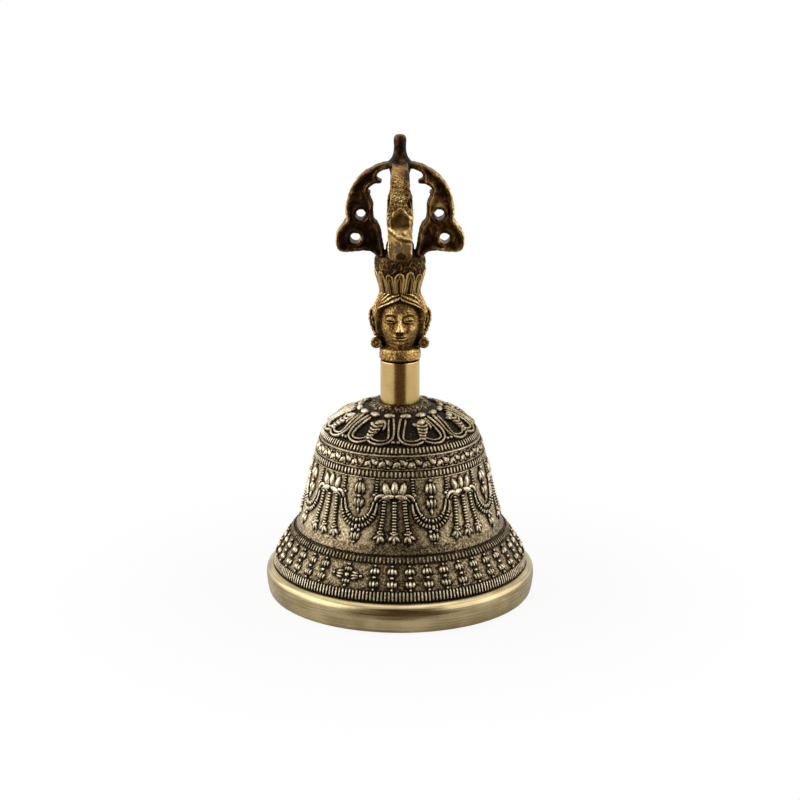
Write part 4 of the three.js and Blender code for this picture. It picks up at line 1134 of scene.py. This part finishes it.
def carvedProng():
    mesh = prongShape()
    co, no = pointsOf(mesh, 1), np.empty(len(mesh.vertices) * 3)
    mesh.vertices.foreach_get("normal", no)
    no = no.reshape(-1, 3)
    r, z, w = co[:, 0], co[:, 1], co[:, 2]
    flank = smoothStep(0.55, 0.9, np.abs(no[:, 2]))
    edge = outlineDistance(co[:, :2], prongOutline())
    hole = np.min([np.hypot(r - x, z - y) - s for x, y, s in vajra["holes"]], axis=0)
    half, bossHalf, upperHalf = (vajra[key] for key in ("halfWidth", "bossHalfWidth", "upperHalfWidth"))
    narrow = np.interp(z, [124.0, 126.0, 130.0, 133.0], [half, bossHalf, bossHalf, upperHalf]) / half
    narrow *= np.interp(z, [139, 143.5], [1.0, 0.8])
    snout = np.clip((118.9 - z) / 4.1, 0, 1) ** 2.6 * smoothStep(12, 15, r)
    w = w * narrow * np.sqrt(1 - 0.75 * snout)
    sunk = vajra["sunk"] * smoothStep(0.9, 1.5, edge) * smoothStep(1.0, 1.5, hole)
    sunk += 0.35 * hump(hole - 0.2, 0.5)
    w = w - np.sign(w) * sunk * flank
    outward = smoothStep(0.1, 0.75, no[:, 0]) * (r > 8.5)
    # on the bow, from the top: rough bar with a notch, raised chevron, six-sided boss, crease, dark spot
    slope = z + 0.88 * np.abs(w)
    chevron = hump(slope - bow["chevron"], 0.3)
    bossAcross, bossUp = np.abs(w) / bow["bossWidth"], (z - bow["boss"]) / bow["bossHeight"]
    hexagon = np.maximum(np.abs(bossUp) * 0.9 + bossAcross * 0.45, bossAcross)
    boss = smoothStep(1.0, 0.86, hexagon) * (1 - chevron)
    line = hump(hexagon - 0.96, 0.07) * (1 - chevron)
    swoosh = z + 0.475 * w - 0.06 * w ** 2
    crease, groove = hump(swoosh - bow["crease"], 0.3), hump(swoosh - bow["groove"], 0.45)
    spot, notch = (smoothStep(1.1, 0.6, np.hypot((w - across) / wide, (z - height) / tall))
                   for across, height, wide, tall in (bow["spot"], bow["notch"]))
    rough = castNoise(co, 0.8, 21) * smoothStep(131.9, 132.6, slope) * (1 - smoothStep(141.0, 142.4, z))
    lift = outward * (0.28 * boss + 0.14 * line + 0.3 * chevron + 0.15 * rough + 0.2 * crease - 0.2 * groove
                      - 0.8 * notch - 0.15 * spot)
    r = r + lift * no[:, 0]
    z = z + lift * no[:, 1]
    # outer edges rubbed bright, with a painted highlight on them
    worn = 0.36 + 0.30 * smoothStep(0.9, 0.15, edge) * np.clip(no[:, 0], 0, 1)
    worn += 0.1 * flank * castNoise(co, 3.2, 23)
    # on the bow also a painted highlight across the snout, and painted shadow in the notch and in the groove
    # under the crease
    worn += outward * (0.45 * chevron + 0.16 * line + 0.16 * rough - 0.12 * boss + 0.3 * crease
                       - 0.24 * groove - 0.5 * notch - 0.5 * spot + 0.46 * hump(z - 119.3, 1.6) + 0.05
                       - 0.2 * smoothStep(0.9, 1.6, w) * smoothStep(132.5, 133.5, z))
    worn -= 0.14 * flank * smoothStep(0.8, 1.4, edge) - 0.1 * flank * hump(edge - 0.7, 0.35)
    faces = [list(p.vertices)[::-1] for p in mesh.polygons]                    # the prong is mirrored here
    made = makeObject("vajra_prongs", np.stack([w, -r, z], axis=1), faces)
    setWearAndPaintedLight(made.data, worn)
    return made


prongs = runTree(carvedProng(), turnTree, {"Count": 4, "Start turn": 0.0, "Sweep": fullTurn, "Seed": 2.0,
                                           "Unevenness": vajra["uneven"] * mm, "Material": vajraBronze})
prongs.data.polygons.foreach_set("use_smooth", [True] * len(prongs.data.polygons))
co = pointsOf(prongs.data)
setWearAndPaintedLight(prongs.data, wearAndPaintedLightOf(prongs.data) + 0.12 * smoothStep(4, 8, co[:, 0])
        + 0.08 * castNoise(co, 6.0, 31))                                       # the prong on the right lighter, and the tone of each prong uneven
dress(prongs, None, "bell", "vajra_bronze", "half_vajra")

spike = cleaned(turned("vajra_spike", smoothCurve(vajra["spike"], 90), 48, closed=False))
co = pointsOf(spike.data)
setWearAndPaintedLight(spike.data, 0.1 + 0.1 * smoothStep(150.5, 152.3, co[:, 2]) + 0.16 * castNoise(co, 2.6, 41))
dress(spike, vajraBronze, "bell", "vajra_bronze")
print("half-vajra made")


# rod, washer, nut, ring and clapper

inner = dict(
    pole=0.08, gap=0.3, rod=2.0, rodTop=92.8, washer=5.5, washerFoot=58.9, washerTop=59.9, nutFlats=7.0,
    nutFoot=55.7, chamfer=0.45, eyeMiddle=51.2, eyeRadius=2.9, eyeWire=1.0, ringMiddle=46.5, ringRadius=4.0,
    ringWire=0.9, clapperEye=41.8, clapperRod=1.2, rivet=2.1, strikerFoot=4.05, strikerHeight=13.5,
    strikerRadius=6.3,
    striker=[(0, 0.5), (0.12, 0.78), (0.3, 0.97), (0.42, 1), (0.56, 0.95), (0.75, 0.7), (0.9, 0.48),
             (1, 0.42)])  # share of its height, share of its radius


def wireRing(name, radius, wire, middle, plane):  # a closed ring of wire in the xz or the yz plane
    a = anglesRound(72)
    out, none = radius * np.cos(a), np.zeros(72)
    path = np.stack([*((out, none) if plane == "xz" else (none, out)), middle + radius * np.sin(a)], axis=1)
    return swept(name, path, wire, 18, True)


def washerShape():
    i = inner
    hole, edge = i["rod"] + i["gap"], 0.12
    r, foot, top = i["washer"], i["washerFoot"], i["washerTop"]
    return turned("crown_washer_fine", [(hole, foot), (r - edge, foot), (r, foot + edge), (r, top - edge),
                                        (r - edge, top), (hole, top)], 96)


def nutShape():  # six flats under two chamfer cones
    i = inner
    foot, top, c = i["nutFoot"], i["washerFoot"], i["chamfer"]
    corner = i["nutFlats"] / 2 / math.cos(math.radians(30))
    steps = [0, 0, 0.25 * c, 0.6 * c, c]
    heights = [foot + h for h in steps] + [(foot + top) / 2] + [top - h for h in reversed(steps)]
    verts, faces = turnedGrid([(corner, z) for z in heights], 144)
    a, z = np.arctan2(verts[:, 0], -verts[:, 1]), verts[:, 2]
    fromFlat = (a + math.pi / 6) % (math.pi / 3) - math.pi / 6
    flat = i["nutFlats"] / 2 / np.cos(fromFlat)
    cone = corner - 0.55 + 1.2 * np.minimum(z - foot, top - z)
    radius = np.minimum(flat, cone)
    radius[:144] = radius[-144:] = i["rod"] + i["gap"]                         # the hole
    verts[:, 0], verts[:, 1] = radius * np.sin(a), -radius * np.cos(a)
    return makeObject("crown_nut_fine", verts, faces)


def rodShape():
    i = inner
    foot = i["eyeMiddle"] + i["eyeRadius"] - 0.4 * i["eyeWire"]
    r = i["rod"]
    shank = turned("shank", [(i["pole"], foot), (r - 0.6, foot), (r, foot + 0.8), (r, i["rodTop"] - 0.4),
                             (r - 0.4, i["rodTop"]), (i["pole"], i["rodTop"])], 48, closed=False)
    eye = wireRing("eye", i["eyeRadius"], i["eyeWire"], i["eyeMiddle"], "xz")
    return joinAll("tie_rod_fine", [shank, eye])


def clapperRodShape():
    i = inner
    top = i["clapperEye"] - i["eyeRadius"] + 0.4 * i["eyeWire"]
    foot, r, rivet = i["strikerFoot"] - 1.2, i["clapperRod"], i["rivet"]
    shank = turned("shank", [(i["pole"], foot), (rivet * 0.7, foot), (rivet, foot + 0.35),
                             (rivet, foot + 0.9), (r, foot + 0.9), (r, top), (i["pole"], top)], 40,
                   closed=False)
    eye = wireRing("eye", i["eyeRadius"], i["eyeWire"], i["clapperEye"], "xz")
    return joinAll("clapper_rod_fine", [shank, eye])


def strikerShape():
    i = inner
    hole = i["clapperRod"] + i["gap"]
    side = smoothCurve([(i["strikerRadius"] * out, i["strikerFoot"] + i["strikerHeight"] * up)
                        for up, out in i["striker"]], 48)
    side[:, 0] = np.minimum(side[:, 0], i["strikerRadius"])
    foot, top = [hole, i["strikerFoot"]], [hole, i["strikerFoot"] + i["strikerHeight"]]
    return turned("clapper_striker_fine", np.vstack([foot, side, top]), 96)


ring = wireRing("hanger_ring_fine", inner["ringRadius"], inner["ringWire"], inner["ringMiddle"], "yz")
dress(cleaned(washerShape(), angle=40), plainSteel, "bell", "steel", "crown_washer")
dress(cleaned(nutShape(), angle=30), plainSteel, "bell", "steel", "crown_nut")
dress(cleaned(rodShape(), angle=40), plainSteel, "bell", "steel", "tie_rod")
dress(cleaned(ring), plainSteel, "link", "steel", "hanger_ring")
dress(cleaned(clapperRodShape(), angle=40), plainSteel, "clapper", "steel", "clapper_rod")
dress(cleaned(strikerShape(), angle=40), darkIron, "clapper", "striker_iron", "clapper_striker")
print("clapper made")


# floor, light, camera

studio = dict(
    camera=(0, -0.6075, 0.2267), tilt=14.911, lens=85.57, ambient=0.25, lampsAim=(0, 0, 0.07),
    lamps=[dict(name="left box", at=(-0.86, -0.10, 0.40), size=(1.45, 0.9), power=8.0),
           dict(name="right box", at=(0.86, -0.10, 0.40), size=(1.45, 0.9), power=5.6),
           dict(name="top box", at=(0.0, 0.20, 1.1), size=(1.1, 0.7), power=3.0)],
    floorSize=9.0, floorColor=(0.86, 0.86, 0.86, 1), floorNear=0.05, floorFar=0.13, floorShare=0.9,
    mirrorFar=0.30, mirrorShare=0.0, mouthHole=0.0431, cardColor=(0.16, 0.09, 0.05, 1),
    cards=dict(floorCard=[(-36, -52, 0.8), (36, -52, 0.8), (1290, -1890, 0.8), (-1290, -1890, 0.8)],
               frontCard=[(-1250, -1900, 1), (1250, -1900, 1), (1250, -1900, 2600), (-1250, -1900, 2600)]))


def plainMaterial(name, color, rough, specular):
    mat, tree, shader = newMaterial(name)
    for key, value in (("Base Color", color), ("Roughness", rough), ("Specular IOR Level", specular)):
        shader.inputs[key].default_value = value
    return mat, tree, shader


bpy.ops.mesh.primitive_plane_add(size=studio["floorSize"], location=(0, 0, -0.1 * mm))
floor = bpy.context.object
floor.name = "floor"
mat, tree, shader = plainMaterial("paper floor", studio["floorColor"], 0.9, 0.1)
glow = addNode(tree, "ShaderNodeEmission", {"Color": (1, 1, 1, 1), "Strength": 1.0})
path = addNode(tree, "ShaderNodeLightPath")
place = addNode(tree, "ShaderNodeTexCoord").outputs["Object"]
reach = addNode(tree, "ShaderNodeVectorMath", {0: place}, operation="LENGTH").outputs["Value"]
fade, mirrorFade = (addNode(tree, "ShaderNodeMapRange", {0: reach, 1: studio["floorNear"], 2: studio[far],
                                                         3: studio[near], 4: 1.0}).outputs[0]
                    for near, far in (("floorShare", "floorFar"), ("mirrorShare", "mirrorFar")))
seen = mathNode(tree, "ADD", path.outputs["Is Camera Ray"], path.outputs["Is Transmission Ray"], clamp=True)
share = mathNode(tree, "ADD", mathNode(tree, "MULTIPLY", seen, fade),
                 mathNode(tree, "MULTIPLY", path.outputs["Is Glossy Ray"], mirrorFade), clamp=True)
both = addNode(tree, "ShaderNodeMixShader", {0: share, 1: shader.outputs[0], 2: glow.outputs[0]})
under = addNode(tree, "ShaderNodeNewGeometry").outputs["Backfacing"]
mouth = mathNode(tree, "LESS_THAN", reach, studio["mouthHole"])
hidden = mathNode(tree, "MAXIMUM", under, mouth)  # the floor is clear from below and inside the mouth
clear = addNode(tree, "ShaderNodeBsdfTransparent")
both = addNode(tree, "ShaderNodeMixShader", {0: hidden, 1: both.outputs[0], 2: clear.outputs[0]})
out = next(n for n in tree.nodes if n.type == "OUTPUT_MATERIAL")
tree.links.new(both.outputs[0], out.inputs[0])
floor.data.materials.append(mat)

mat, tree, shader = plainMaterial("dark card", studio["cardColor"], 1.0, 0.0)
for name, corners in studio["cards"].items():  # dark cards on the camera's side, which only the metal sees
    card = makeObject(name, corners, [(0, 1, 2, 3)])
    card.visible_camera = card.visible_diffuse = card.visible_shadow = False
    card.data.materials.append(mat)

world = bpy.data.worlds.new("studio")
bpy.context.scene.world = world
world.use_nodes = True
tree = world.node_tree
tree.nodes.clear()
path = addNode(tree, "ShaderNodeLightPath")
dim = addNode(tree, "ShaderNodeBackground", {"Color": (1, 1, 1, 1), "Strength": studio["ambient"]})
white = addNode(tree, "ShaderNodeBackground", {"Color": (1, 1, 1, 1), "Strength": 1.0})
seen = mathNode(tree, "ADD", path.outputs["Is Camera Ray"], path.outputs["Is Glossy Ray"], clamp=True)
seen = mathNode(tree, "ADD", seen, path.outputs["Is Transmission Ray"], clamp=True)
mixed = addNode(tree, "ShaderNodeMixShader", {0: seen, 1: dim.outputs[0], 2: white.outputs[0]})
addNode(tree, "ShaderNodeOutputWorld", {"Surface": mixed.outputs[0]})

for spec in studio["lamps"]:
    lamp = bpy.data.lights.new(spec["name"], "AREA")
    lamp.shape = "RECTANGLE"
    lamp.size, lamp.size_y = spec["size"]
    lamp.energy = spec["power"]
    obj = bpy.data.objects.new(spec["name"], lamp)
    obj.location = spec["at"]
    aim = Vector(studio["lampsAim"]) - Vector(spec["at"])
    obj.rotation_euler = aim.to_track_quat("-Z", "Y").to_euler()
    bpy.context.collection.objects.link(obj)

cameraData = bpy.data.cameras.new("camera")
cameraData.lens = studio["lens"]
cameraData.sensor_width = 36
cameraData.clip_start = 0.01
camera = bpy.data.objects.new("camera", cameraData)
camera.location = studio["camera"]
camera.rotation_euler = (math.radians(90 - studio["tilt"]), 0, 0)
bpy.context.collection.objects.link(camera)
bpy.context.scene.camera = camera
bpy.context.scene.view_settings.view_transform = "Standard"
print("studio made")
